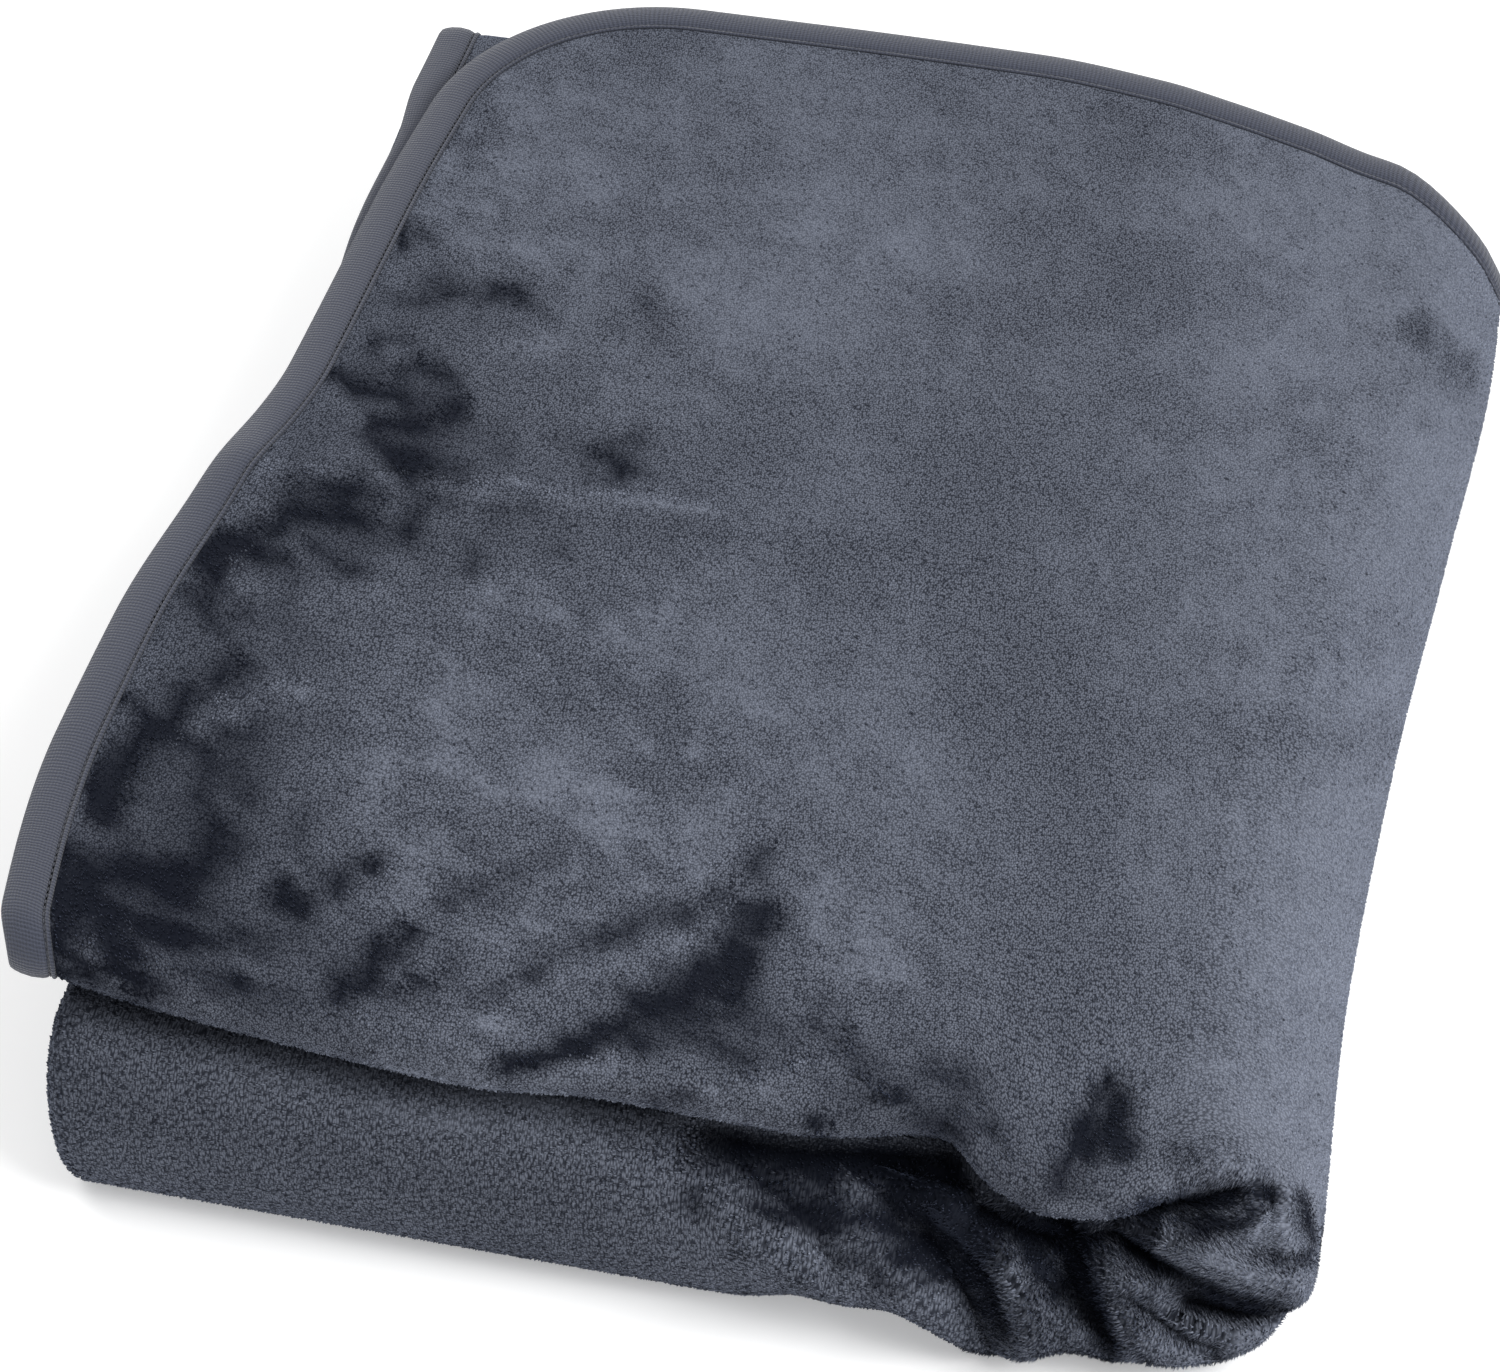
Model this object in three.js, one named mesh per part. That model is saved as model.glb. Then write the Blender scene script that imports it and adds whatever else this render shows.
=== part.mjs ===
import * as THREE from "three";

// A plush waterproof blanket: one sheet with rounded corners and a tape folded over its edge.
// Its left third is folded onto the middle one, the doubled sheet is folded in thirds from front to
// back, and the right third is then turned over the top. Sizes are in millimetres. +Z is up, the
// front faces -Y, and the underside lies flat on z = 0.

const SHEET = {
  thickness: 7,
  rimThickness: 3.4,
  rimWidth: 18.6,
  rampWidth: 22,
  cornerRadius: 105,
};

const TAPE = { width: 18, thickness: 1.2, gap: 0.3, nose: 1.8 };

// Where the top strip starts, where the bends start, and where the tucked flap ends, along x.
const ACROSS = { left: -254, rightBend: 194, leftBend: -232, flapEnd: 178 };

// The three strips of the second fold. Each is a section of three layers: the outer layer, which
// comes first, the inner layer, joined to it by the front fold, and the tucked layer, joined to the
// inner one by the back fold. Levels are the heights of the middle of the sheet.
const STRIPS = {
  top: {
    outer: 116.5,
    inner: 96,
    tucked: 106.2,
    edge: 344,
    front: { y: -353, depth: 14, square: 1 },
    back: { y: 318, depth: 6 },
    tuckedEdge: -304,
  },
  bottom: {
    outer: 3.5,
    inner: 82.5,
    tucked: 35.5,
    edge: 341,
    front: { y: -367, depth: 32, square: 0.68 },
    back: { y: 334, depth: 21 },
    tuckedEdge: -298,
  },
  flap: {
    outer: 19.5,
    inner: 68.5,
    tucked: 50,
    edge: 336,
    front: { y: -322, depth: 20, square: 0.85 },
    back: { y: 318, depth: 8 },
    tuckedEdge: -298,
  },
};

// How the bundle lies. The left edge of the top strip swings out, along y.
const LEFT_SWING = [
  { y: -352, out: 0 },
  { y: -320, out: 13 },
  { y: -222, out: 26 },
  { y: -150, out: 27 },
  { y: -56, out: 19 },
  { y: 30, out: 7 },
  { y: 160, out: 6 },
  { y: 300, out: 0 },
];

// How much further out its two lower layers lie, towards the back.
const UNDER_SWING = [
  { y: 60, out: 0 },
  { y: 150, out: 8 },
  { y: 215, out: 11 },
  { y: 270, out: 19 },
  { y: 318, out: 20 },
];

// The right side, along y.
const RIGHT_SWING = [
  { y: -360, out: -7 },
  { y: -200, out: -13 },
  { y: -60, out: -10 },
  { y: 90, out: -2 },
  { y: 240, out: 5 },
  { y: 341, out: 3 },
];

// How far the bundle sinks at its back right, along x.
const SINK = [
  { x: 20, drop: 0 },
  { x: 81, drop: 5 },
  { x: 115, drop: 12 },
  { x: 150, drop: 21 },
  { x: 194, drop: 33 },
  { x: 260, drop: 34 },
];

// How far its front sags where the lip hangs over, along x.
const FRONT_SAG = [
  { x: 92, drop: 0 },
  { x: 128, drop: 6 },
  { x: 150, drop: 11 },
  { x: 172, drop: 11 },
  { x: 215, drop: 0 },
];

// How far the back edge draws in at the right, along x.
const BACK_DRAW = [
  { x: -80, inward: 0 },
  { x: 90, inward: 4 },
  { x: 186, inward: 6 },
  { x: 237, inward: 29 },
  { x: 260, inward: 30 },
];

// How far the lip of the top strip stands back, along x. It has a pleat near x = 115.
const LIP_LINE = [
  { x: -254, back: 17 },
  { x: -200, back: 8 },
  { x: -130, back: 0 },
  { x: -71, back: -4 },
  { x: -24, back: 1 },
  { x: 51, back: 0 },
  { x: 106, back: 11 },
  { x: 128, back: -8 },
  { x: 148, back: -13 },
  { x: 172, back: -9 },
  { x: 212, back: 8 },
  { x: 260, back: 8 },
];

// Ridges and hollows of the bunched front at the lower right: straight strokes on its face.
const GATHERS = [
  { x1: 20, z1: 82, x2: 90, z2: 76, width: 17, forward: -12 },
  { x1: 40, z1: 54, x2: 72, z2: 40, width: 14, forward: 6 },
  { x1: 72, z1: 40, x2: 110, z2: 8, width: 14, forward: 7 },
  { x1: 92, z1: 72, x2: 118, z2: 44, width: 13, forward: -7 },
  { x1: 108, z1: 88, x2: 126, z2: 70, width: 13, forward: 5 },
  { x1: 126, z1: 70, x2: 147, z2: 8, width: 13, forward: 7 },
  { x1: 146, z1: 76, x2: 160, z2: 50, width: 14, forward: -13 },
  { x1: 172, z1: 66, x2: 184, z2: 12, width: 12, forward: 5 },
  { x1: 184, z1: 50, x2: 206, z2: 24, width: 12, forward: 5 },
  { x1: 206, z1: 24, x2: 240, z2: 22, width: 11, forward: 5 },
  { x1: 204, z1: 50, x2: 238, z2: 40, width: 12, forward: -13 },
  { x1: 190, z1: 76, x2: 244, z2: 60, width: 11, forward: 4 },
];

// A soft ridge across the top, left by an old fold.
const CREASE = { x1: -254, y1: -48, x2: 60, y2: -44, width: 24, height: 3 };

// Where the middle of the finished bundle lies in the sizes above. It becomes the origin.
const MIDDLE = { x: -11.8, y: -15.4 };

const FABRIC = { color: 0x434c5a, roughness: 0.95, metalness: 0 };
const KNIT = { color: 0x4a505c, roughness: 0.85, metalness: 0 };

const HALF = SHEET.thickness / 2;

function mix(a, b, t) {
  return a + (b - a) * t;
}

function smooth(from, to, value) {
  const t = Math.min(1, Math.max(0, (value - from) / (to - from)));
  return t * t * (3 - 2 * t);
}

// Reads a table along one of its columns, with soft steps between its rows.
function read(rows, key, field, value) {
  const next = rows.findIndex((row) => row[key] > value);
  if (next === 0) {
    return rows[0][field];
  }
  if (next === -1) {
    return rows[rows.length - 1][field];
  }
  const before = rows[next - 1];
  const after = rows[next];
  return mix(before[field], after[field], smooth(before[key], after[key], value));
}

// The section of the first fold, from the bound back edge of the outer layer to the bound edge of
// the tucked layer. Each leg gives y and z in a strip.
const SECTION = [
  {
    name: "outer panel",
    length: 680,
    at(t, strip) {
      return { y: mix(strip.edge, strip.front.y + strip.front.depth, t), z: strip.outer };
    },
  },
  {
    name: "front fold",
    length: 60,
    at(t, strip) {
      const angle = Math.PI * t;
      const reach = Math.sin(angle) ** strip.front.square;
      return {
        y: strip.front.y + strip.front.depth * (1 - reach),
        z: mix(strip.outer, strip.inner, (1 - Math.cos(angle)) / 2),
      };
    },
  },
  {
    name: "inner panel",
    length: 650,
    at(t, strip) {
      const front = strip.front.y + strip.front.depth;
      return { y: mix(front, strip.back.y - strip.back.depth, t), z: strip.inner };
    },
  },
  {
    name: "back fold",
    length: 32,
    at(t, strip) {
      const angle = Math.PI * t;
      return {
        y: strip.back.y - strip.back.depth * (1 - Math.sin(angle)),
        z: mix(strip.inner, strip.tucked, (1 - Math.cos(angle)) / 2),
      };
    },
  },
  {
    name: "tucked panel",
    length: 620,
    at(t, strip) {
      return { y: mix(strip.back.y - strip.back.depth, strip.tuckedEdge, t), z: strip.tucked };
    },
  },
];

// A half turn from one strip to the next, out along x from where the bend starts, by a radius
// of "most" at the most.
function bendBetween(from, to, start, direction, most, t) {
  const swing = (1 - Math.cos(Math.PI * t)) / 2;
  const radius = Math.min(most, Math.hypot(to.y - from.y, to.z - from.z) / 2);
  return {
    x: start + direction * radius * Math.sin(Math.PI * t),
    y: mix(from.y, to.y, swing),
    z: mix(from.z, to.z, swing),
  };
}

// The path of the second fold. Each leg places a spot of the section along x.
const PATH = [
  {
    name: "top strip",
    length: ACROSS.rightBend - ACROSS.left,
    at(t, spot) {
      return { x: mix(ACROSS.left, ACROSS.rightBend, t), ...spot(STRIPS.top) };
    },
  },
  {
    name: "right bend",
    length: 120,
    at(t, spot) {
      return bendBetween(spot(STRIPS.top), spot(STRIPS.bottom), ACROSS.rightBend, 1, 60, t);
    },
  },
  {
    name: "bottom strip",
    length: ACROSS.rightBend - ACROSS.leftBend,
    at(t, spot) {
      return { x: mix(ACROSS.rightBend, ACROSS.leftBend, t), ...spot(STRIPS.bottom) };
    },
  },
  {
    name: "left bend",
    length: 26,
    at(t, spot) {
      return bendBetween(spot(STRIPS.bottom), spot(STRIPS.flap), ACROSS.leftBend, -1, 12, t);
    },
  },
  {
    name: "tucked flap",
    length: ACROSS.flapEnd - ACROSS.leftBend,
    at(t, spot) {
      return { x: mix(ACROSS.leftBend, ACROSS.flapEnd, t), ...spot(STRIPS.flap) };
    },
  },
];

function totalLength(legs) {
  return legs.reduce((sum, leg) => sum + leg.length, 0);
}

const WIDTH = totalLength(PATH);
const LENGTH = totalLength(SECTION);

function locate(legs, distance) {
  let start = 0;
  let index = 0;
  while (index < legs.length - 1 && distance > start + legs[index].length) {
    start += legs[index].length;
    index += 1;
  }
  return { leg: legs[index], t: (distance - start) / legs[index].length };
}

// Where the middle of the sheet lies, for a point u along its width and v along its length.
function place(u, v) {
  const path = locate(PATH, u);
  const section = locate(SECTION, v);
  const spot = path.leg.at(path.t, (strip) => section.leg.at(section.t, strip));
  return settle(new THREE.Vector3(spot.x, spot.y, spot.z));
}

// How near a spot lies to a straight stroke: 1 on it, and 0 well away from it.
function nearStroke(px, py, x1, y1, x2, y2, width) {
  const spanX = x2 - x1;
  const spanY = y2 - y1;
  const along = ((px - x1) * spanX + (py - y1) * spanY) / (spanX * spanX + spanY * spanY);
  const t = Math.min(1, Math.max(0, along));
  const away = Math.hypot(px - x1 - spanX * t, py - y1 - spanY * t) / width;
  return Math.exp(-away * away);
}

// Uneven lie of the whole bundle. Each step moves points along one axis only, so layers that lie
// apart stay apart.
function settle(point) {
  const { x, z } = point;
  const upper = smooth(82, 98, z);
  const hanging = smooth(mix(82, 40, smooth(170, 215, x)), 98, z);
  const front = 1 - smooth(-352, -240, point.y);
  const face = (1 - upper) * (1 - smooth(-350, -322, point.y));
  const pushes = GATHERS.map((row) => {
    return row.forward * nearStroke(x, z, row.x1, row.z1, row.x2, row.z2, row.width);
  });
  const gathered = Math.max(...pushes, 0) + Math.min(...pushes, 0);
  point.y += front * hanging * read(LIP_LINE, "x", "back", x) - face * gathered;
  point.y -= read(BACK_DRAW, "x", "inward", x) * smooth(120, 341, point.y);
  const left = upper * (1 - smooth(-250, -40, x));
  const right = smooth(60, 230, x);
  const under = 1 - smooth(106, 115, z);
  const swing = read(LEFT_SWING, "y", "out", point.y);
  point.x -= left * (swing + under * read(UNDER_SWING, "y", "out", point.y));
  point.x += right * read(RIGHT_SWING, "y", "out", point.y);
  const lower = Math.min(1, Math.max(0, (z - 7) / 76));
  const { x1, y1, x2, y2, width, height } = CREASE;
  const sag = read(FRONT_SAG, "x", "drop", x) * (1 - smooth(-345, -260, point.y));
  point.z -= lower * (sag + read(SINK, "x", "drop", x) * smooth(-120, 330, point.y));
  point.z += upper * height * nearStroke(point.x, point.y, x1, y1, x2, y2, width);
  return point;
}

function normalAt(u, v) {
  const step = 0.4;
  const alongU = place(u + step, v).sub(place(u - step, v));
  const alongV = place(u, v + step).sub(place(u, v - step));
  return alongV.cross(alongU).normalize();
}

function offsetPoint(u, v, height) {
  return place(u, v).addScaledVector(normalAt(u, v), height);
}

// Stations of the grid: a row for each stretch, with its share of steps.
const R = SHEET.cornerRadius - SHEET.rampWidth;

function spread(from, to, steps) {
  return Array.from({ length: steps }, (_, index) => mix(from, to, (index + 1) / steps));
}

function cornerRows(steps) {
  return Array.from({ length: steps }, (_, index) => {
    return R * (1 - Math.cos((Math.PI / 2) * ((index + 1) / steps)));
  });
}

function columnStations() {
  const inset = SHEET.rampWidth;
  const starts = [];
  PATH.reduce((sum, leg) => {
    starts.push(sum);
    return sum + leg.length;
  }, 0);
  const [, right, bottom, left, flap] = starts;
  return [
    inset,
    ...spread(inset, right - 98, 4),
    ...spread(right - 98, right, 7),
    ...spread(right, bottom, 10),
    ...spread(bottom, bottom + 150, 14),
    ...spread(bottom + 150, left, 3),
    ...spread(left, flap, 5),
    ...spread(flap, WIDTH - inset, 3),
  ];
}

function rowStations() {
  const inset = SHEET.rampWidth;
  const starts = [];
  SECTION.reduce((sum, leg) => {
    starts.push(sum);
    return sum + leg.length;
  }, 0);
  const [, front, inner, back, tucked] = starts;
  return [
    inset,
    ...cornerRows(5).map((row) => inset + row),
    ...spread(inset + R, front - 90, 6),
    ...spread(front - 90, front, 3),
    ...spread(front, inner, 14),
    ...spread(inner, inner + 100, 3),
    ...spread(inner + 100, back, 3),
    ...spread(back, tucked, 5),
    ...spread(tucked, LENGTH - inset - R, 4),
    ...cornerRows(4).reverse().map((row) => LENGTH - inset - row),
    LENGTH - inset,
  ].filter((row, index, rows) => index === 0 || row - rows[index - 1] > 1e-6);
}

const COLUMNS = columnStations();
const ROWS = rowStations();

// How far the rounded corners draw in the ends of a row.
function cornerInset(v) {
  const inner = Math.min(v, LENGTH - v) - SHEET.rampWidth;
  return inner < R ? R - Math.sqrt(Math.max(0, R * R - (R - inner) ** 2)) : 0;
}

const EASE_LENGTH = 300;

function columnAt(base, v) {
  const fromStart = base - SHEET.rampWidth;
  const fromEnd = WIDTH - SHEET.rampWidth - base;
  const inset = cornerInset(v);
  const startShift = inset * Math.max(0, 1 - fromStart / EASE_LENGTH);
  const endShift = inset * Math.max(0, 1 - fromEnd / EASE_LENGTH);
  return base + startShift - endShift;
}

// The boundary of the inner grid, with the direction that points out of the sheet at each station.
function boundaryStations() {
  const last = { i: COLUMNS.length - 1, j: ROWS.length - 1 };
  const stations = [];
  for (let i = 0; i < last.i; i += 1) {
    stations.push({ i, j: 0 });
  }
  for (let j = 0; j < last.j; j += 1) {
    stations.push({ i: last.i, j });
  }
  for (let i = last.i; i > 0; i -= 1) {
    stations.push({ i, j: last.j });
  }
  for (let j = last.j; j > 0; j -= 1) {
    stations.push({ i: 0, j });
  }
  return stations.map(({ i, j }) => {
    const v = ROWS[j];
    const u = columnAt(COLUMNS[i], v);
    const centreU = Math.min(Math.max(u, SHEET.cornerRadius), WIDTH - SHEET.cornerRadius);
    const centreV = Math.min(Math.max(v, SHEET.cornerRadius), LENGTH - SHEET.cornerRadius);
    const onSide = (i === 0 || i === last.i) && centreV === v;
    const onEnd = (j === 0 || j === last.j) && centreU === u;
    let out = new THREE.Vector2(u - centreU, v - centreV);
    if (onSide) {
      out = new THREE.Vector2(i === 0 ? -1 : 1, 0);
    }
    if (onEnd) {
      out = new THREE.Vector2(0, j === 0 ? -1 : 1);
    }
    return { i, j, u, v, out: out.normalize() };
  });
}

const STATIONS = boundaryStations();

class MeshBuilder {
  constructor() {
    this.points = [];
    this.faces = [];
  }

  add(point) {
    this.points.push(point);
    return this.points.length - 1;
  }

  quad(a, b, c, d) {
    this.faces.push([a, b, c], [a, c, d]);
  }

  geometry() {
    const geometry = new THREE.BufferGeometry();
    const positions = this.points.flatMap((point) => point.toArray());
    geometry.setAttribute("position", new THREE.Float32BufferAttribute(positions, 3));
    geometry.setIndex(this.faces.flat());
    geometry.computeVertexNormals();
    return geometry;
  }
}

// A point of the sheet at a distance in from the edge at a station, raised by half a thickness.
function rimPoint(station, distance, height) {
  const reach = SHEET.rampWidth - distance;
  const u = station.u + station.out.x * reach;
  const v = station.v + station.out.y * reach;
  return offsetPoint(u, v, height);
}

function clothGeometry() {
  const builder = new MeshBuilder();
  const sides = [1, -1].map((side) => {
    return ROWS.map((v) => {
      return COLUMNS.map((base) => builder.add(offsetPoint(columnAt(base, v), v, side * HALF)));
    });
  });
  for (let j = 0; j < ROWS.length - 1; j += 1) {
    for (let i = 0; i < COLUMNS.length - 1; i += 1) {
      const [upper, lower] = sides;
      builder.quad(upper[j][i], upper[j + 1][i], upper[j + 1][i + 1], upper[j][i + 1]);
      builder.quad(lower[j][i], lower[j][i + 1], lower[j + 1][i + 1], lower[j + 1][i]);
    }
  }
  const thin = SHEET.rimThickness / 2;
  const rings = [
    STATIONS.map(({ i, j }) => sides[0][j][i]),
    STATIONS.map((station) => builder.add(rimPoint(station, SHEET.rimWidth, thin))),
    STATIONS.map((station) => builder.add(rimPoint(station, 0, thin))),
    STATIONS.map((station) => builder.add(rimPoint(station, 0, -thin))),
    STATIONS.map((station) => builder.add(rimPoint(station, SHEET.rimWidth, -thin))),
    STATIONS.map(({ i, j }) => sides[1][j][i]),
  ];
  joinRings(builder, rings);
  return builder.geometry();
}

// Joins rings of points one after another. The rings listed in "turned" have their faces split
// along the other diagonal, so that the tape's inside follows the cloth.
function joinRings(builder, rings, turned = []) {
  for (let r = 0; r < rings.length - 1; r += 1) {
    for (let k = 0; k < STATIONS.length; k += 1) {
      const next = (k + 1) % STATIONS.length;
      const corners = [rings[r][k], rings[r][next], rings[r + 1][next], rings[r + 1][k]];
      const order = turned.includes(r) ? [1, 2, 3, 0] : [0, 1, 2, 3];
      builder.quad(...order.map((index) => corners[index]));
    }
  }
}

// Section of the folded tape: distance in from the sheet's edge, and height from its middle.
function tapeProfile() {
  const inner = SHEET.rimThickness / 2 + TAPE.gap;
  const outer = inner + TAPE.thickness;
  const shoulder = outer * 0.45;
  return [
    { distance: TAPE.width, height: outer },
    { distance: 0.6, height: outer },
    { distance: -TAPE.nose, height: shoulder },
    { distance: -TAPE.nose, height: -shoulder },
    { distance: 0.6, height: -outer },
    { distance: TAPE.width, height: -outer },
    { distance: TAPE.width, height: -inner },
    { distance: -TAPE.gap * 1.5, height: -inner },
    { distance: -TAPE.gap * 1.5, height: inner },
    { distance: TAPE.width, height: inner },
  ];
}

function tapeGeometry() {
  const builder = new MeshBuilder();
  const rings = tapeProfile().map(({ distance, height }) => {
    return STATIONS.map((station) => builder.add(rimPoint(station, distance, height)));
  });
  joinRings(builder, [...rings, rings[0]], [6, 8]);
  return builder.geometry();
}

function piece(name, geometry, look) {
  geometry.translate(-MIDDLE.x, -MIDDLE.y, 0);
  const mesh = new THREE.Mesh(geometry, new THREE.MeshStandardMaterial(look));
  mesh.name = name;
  return mesh;
}

const blanket = new THREE.Group();
blanket.add(piece("blanket_cloth", clothGeometry(), FABRIC));
blanket.add(piece("edge_binding", tapeGeometry(), KNIT));

export default blanket;
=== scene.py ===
"""A plush waterproof blanket with a knitted edge binding, folded into a bundle.

The blanket is one flat sheet with rounded corners. Its left third is folded onto the middle one,
the doubled sheet is folded in thirds from front to back, and the right third is turned over the
top. The fold classes work out where each spot of the flat sheet lies, in millimetres, and the
pieces are meshes in metres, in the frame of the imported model.
"""

import logging
import math
from collections.abc import Sequence
from dataclasses import dataclass, field

import bpy
import numpy as np
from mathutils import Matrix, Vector


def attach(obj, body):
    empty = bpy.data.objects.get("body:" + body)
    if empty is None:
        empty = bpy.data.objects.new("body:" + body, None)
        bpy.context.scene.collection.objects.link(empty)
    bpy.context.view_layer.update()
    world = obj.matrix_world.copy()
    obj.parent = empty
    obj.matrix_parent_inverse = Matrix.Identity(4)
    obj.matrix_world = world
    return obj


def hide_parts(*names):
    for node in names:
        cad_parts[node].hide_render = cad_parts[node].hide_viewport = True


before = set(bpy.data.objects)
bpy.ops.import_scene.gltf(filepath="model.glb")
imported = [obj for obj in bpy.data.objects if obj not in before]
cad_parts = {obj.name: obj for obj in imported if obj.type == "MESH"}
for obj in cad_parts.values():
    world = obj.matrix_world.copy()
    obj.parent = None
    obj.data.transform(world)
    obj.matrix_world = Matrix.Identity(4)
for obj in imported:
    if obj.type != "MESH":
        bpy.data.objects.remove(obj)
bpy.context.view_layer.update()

MM = 0.001
TINY = 1e-9
LOG = logging.getLogger("blanket")


def mix(a: np.ndarray | float, b: np.ndarray | float, t: np.ndarray | float) -> np.ndarray | float:
    """The value a share t of the way from a to b."""
    return a + (b - a) * t


def smooth(start: np.ndarray | float, end: float, value: np.ndarray | float) -> np.ndarray:
    """A soft step from 0 at start to 1 at end."""
    t = np.clip((value - start) / (end - start), 0.0, 1.0)
    return t * t * (3.0 - 2.0 * t)


@dataclass(frozen=True)
class Zone:
    """A stretch of one axis with soft ends. An end that isn't given has no limit."""

    rise: tuple[float, float] | None = None
    fall: tuple[float, float] | None = None

    def share(self, place: np.ndarray) -> np.ndarray:
        """How far inside the zone some places lie.

        Args:
            place: places along the axis.

        Returns:
            The shares, 0 outside the zone and 1 between its rise and its fall.
        """
        inside = np.ones(np.shape(place))
        if self.rise is not None:
            inside = inside * smooth(*self.rise, place)
        if self.fall is not None:
            inside = inside * (1.0 - smooth(*self.fall, place))
        return inside


@dataclass(frozen=True)
class Profile:
    """A value that changes smoothly along one axis, through its (place, value) stops."""

    stops: tuple[tuple[float, float], ...]

    def at(self, place: np.ndarray) -> np.ndarray:
        """The values at some places along the axis, without overshoot between the stops.

        Args:
            place: the places.

        Returns:
            The values there. Beyond the ends they are the end stops' values.
        """
        places, values = np.array(self.stops, float).T
        steps = np.diff(places)
        rises = np.diff(values) / steps
        before, after = rises[:-1], rises[1:]
        total = np.where(before * after > 0.0, before + after, 1.0)
        even = np.where(before * after > 0.0, 2.0 * before * after / total, 0.0)
        slopes = np.concatenate([[0.0], even, [0.0]])
        index = np.clip(np.searchsorted(places, place, side="right") - 1, 0, len(places) - 2)
        t = np.clip((place - places[index]) / steps[index], 0.0, 1.0)
        lead = slopes[index] * t * (1.0 - t) ** 2 - slopes[index + 1] * t * t * (1.0 - t)
        return mix(values[index], values[index + 1], smooth(0.0, 1.0, t)) + steps[index] * lead


@dataclass(frozen=True)
class Stroke:
    """A straight ridge or hollow between two spots of a plane, with its width and its height."""

    x1: float
    y1: float
    x2: float
    y2: float
    width: float
    height: float

    def near(self, x: np.ndarray, y: np.ndarray) -> np.ndarray:
        """How near some spots lie to the stroke.

        Args:
            x: the spots' places along the plane's first axis.
            y: their places along its second axis.

        Returns:
            The nearness: 1 on the stroke, and 0 well away from it.
        """
        span_x, span_y = self.x2 - self.x1, self.y2 - self.y1
        along = ((x - self.x1) * span_x + (y - self.y1) * span_y) / (span_x**2 + span_y**2)
        t = np.clip(along, 0.0, 1.0)
        away = np.hypot(x - self.x1 - span_x * t, y - self.y1 - span_y * t) / self.width
        return np.exp(-away * away)

    def push(self, x: np.ndarray, y: np.ndarray) -> np.ndarray:
        """The height of the stroke over some spots."""
        return self.height * self.near(x, y)


def strongest(strokes: "Sequence[Stroke | Fold]", x: np.ndarray, y: np.ndarray) -> np.ndarray:
    """The highest ridge and the deepest hollow of several strokes, added together."""
    pushes = np.stack([stroke.push(x, y) for stroke in strokes])
    return np.maximum(pushes.max(0), 0.0) + np.minimum(pushes.min(0), 0.0)


@dataclass(frozen=True)
class Fold:
    """A crease, lip or hollow along a line of the slanted plane, or a line of painted light and
    shade.

    The line's spots are (right, up) on the plane. A ridge or hollow fades over one width to the
    line's left and over another to its right.
    """

    line: tuple[tuple[float, float], ...]
    height: float
    left: float
    right: float

    def push(self, right: np.ndarray, up: np.ndarray) -> np.ndarray:
        """The height of the fold over some spots of the plane.

        Args:
            right: the spots' places along the plane's right.
            up: their places along its up.

        Returns:
            The heights in millimetres, or the strengths of the painted light and shade.
        """
        nearest = np.full(np.shape(right), np.inf)
        side = np.zeros_like(nearest)
        for (x1, y1), (x2, y2) in zip(self.line, self.line[1:]):
            span_x, span_y = x2 - x1, y2 - y1
            length = math.hypot(span_x, span_y)
            along = ((right - x1) * span_x + (up - y1) * span_y) / length**2
            t = np.clip(along, 0.0, 1.0)
            away_x, away_y = right - x1 - span_x * t, up - y1 - span_y * t
            distance = np.hypot(away_x, away_y) + TINY
            turn = (span_x * away_y - span_y * away_x) / (length * distance)
            side = np.where(distance < nearest, turn, side)
            nearest = np.minimum(nearest, distance)
        width = mix(self.right, self.left, 0.5 + 0.5 * side)
        return self.height * np.exp(-((nearest / width) ** 2))


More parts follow.
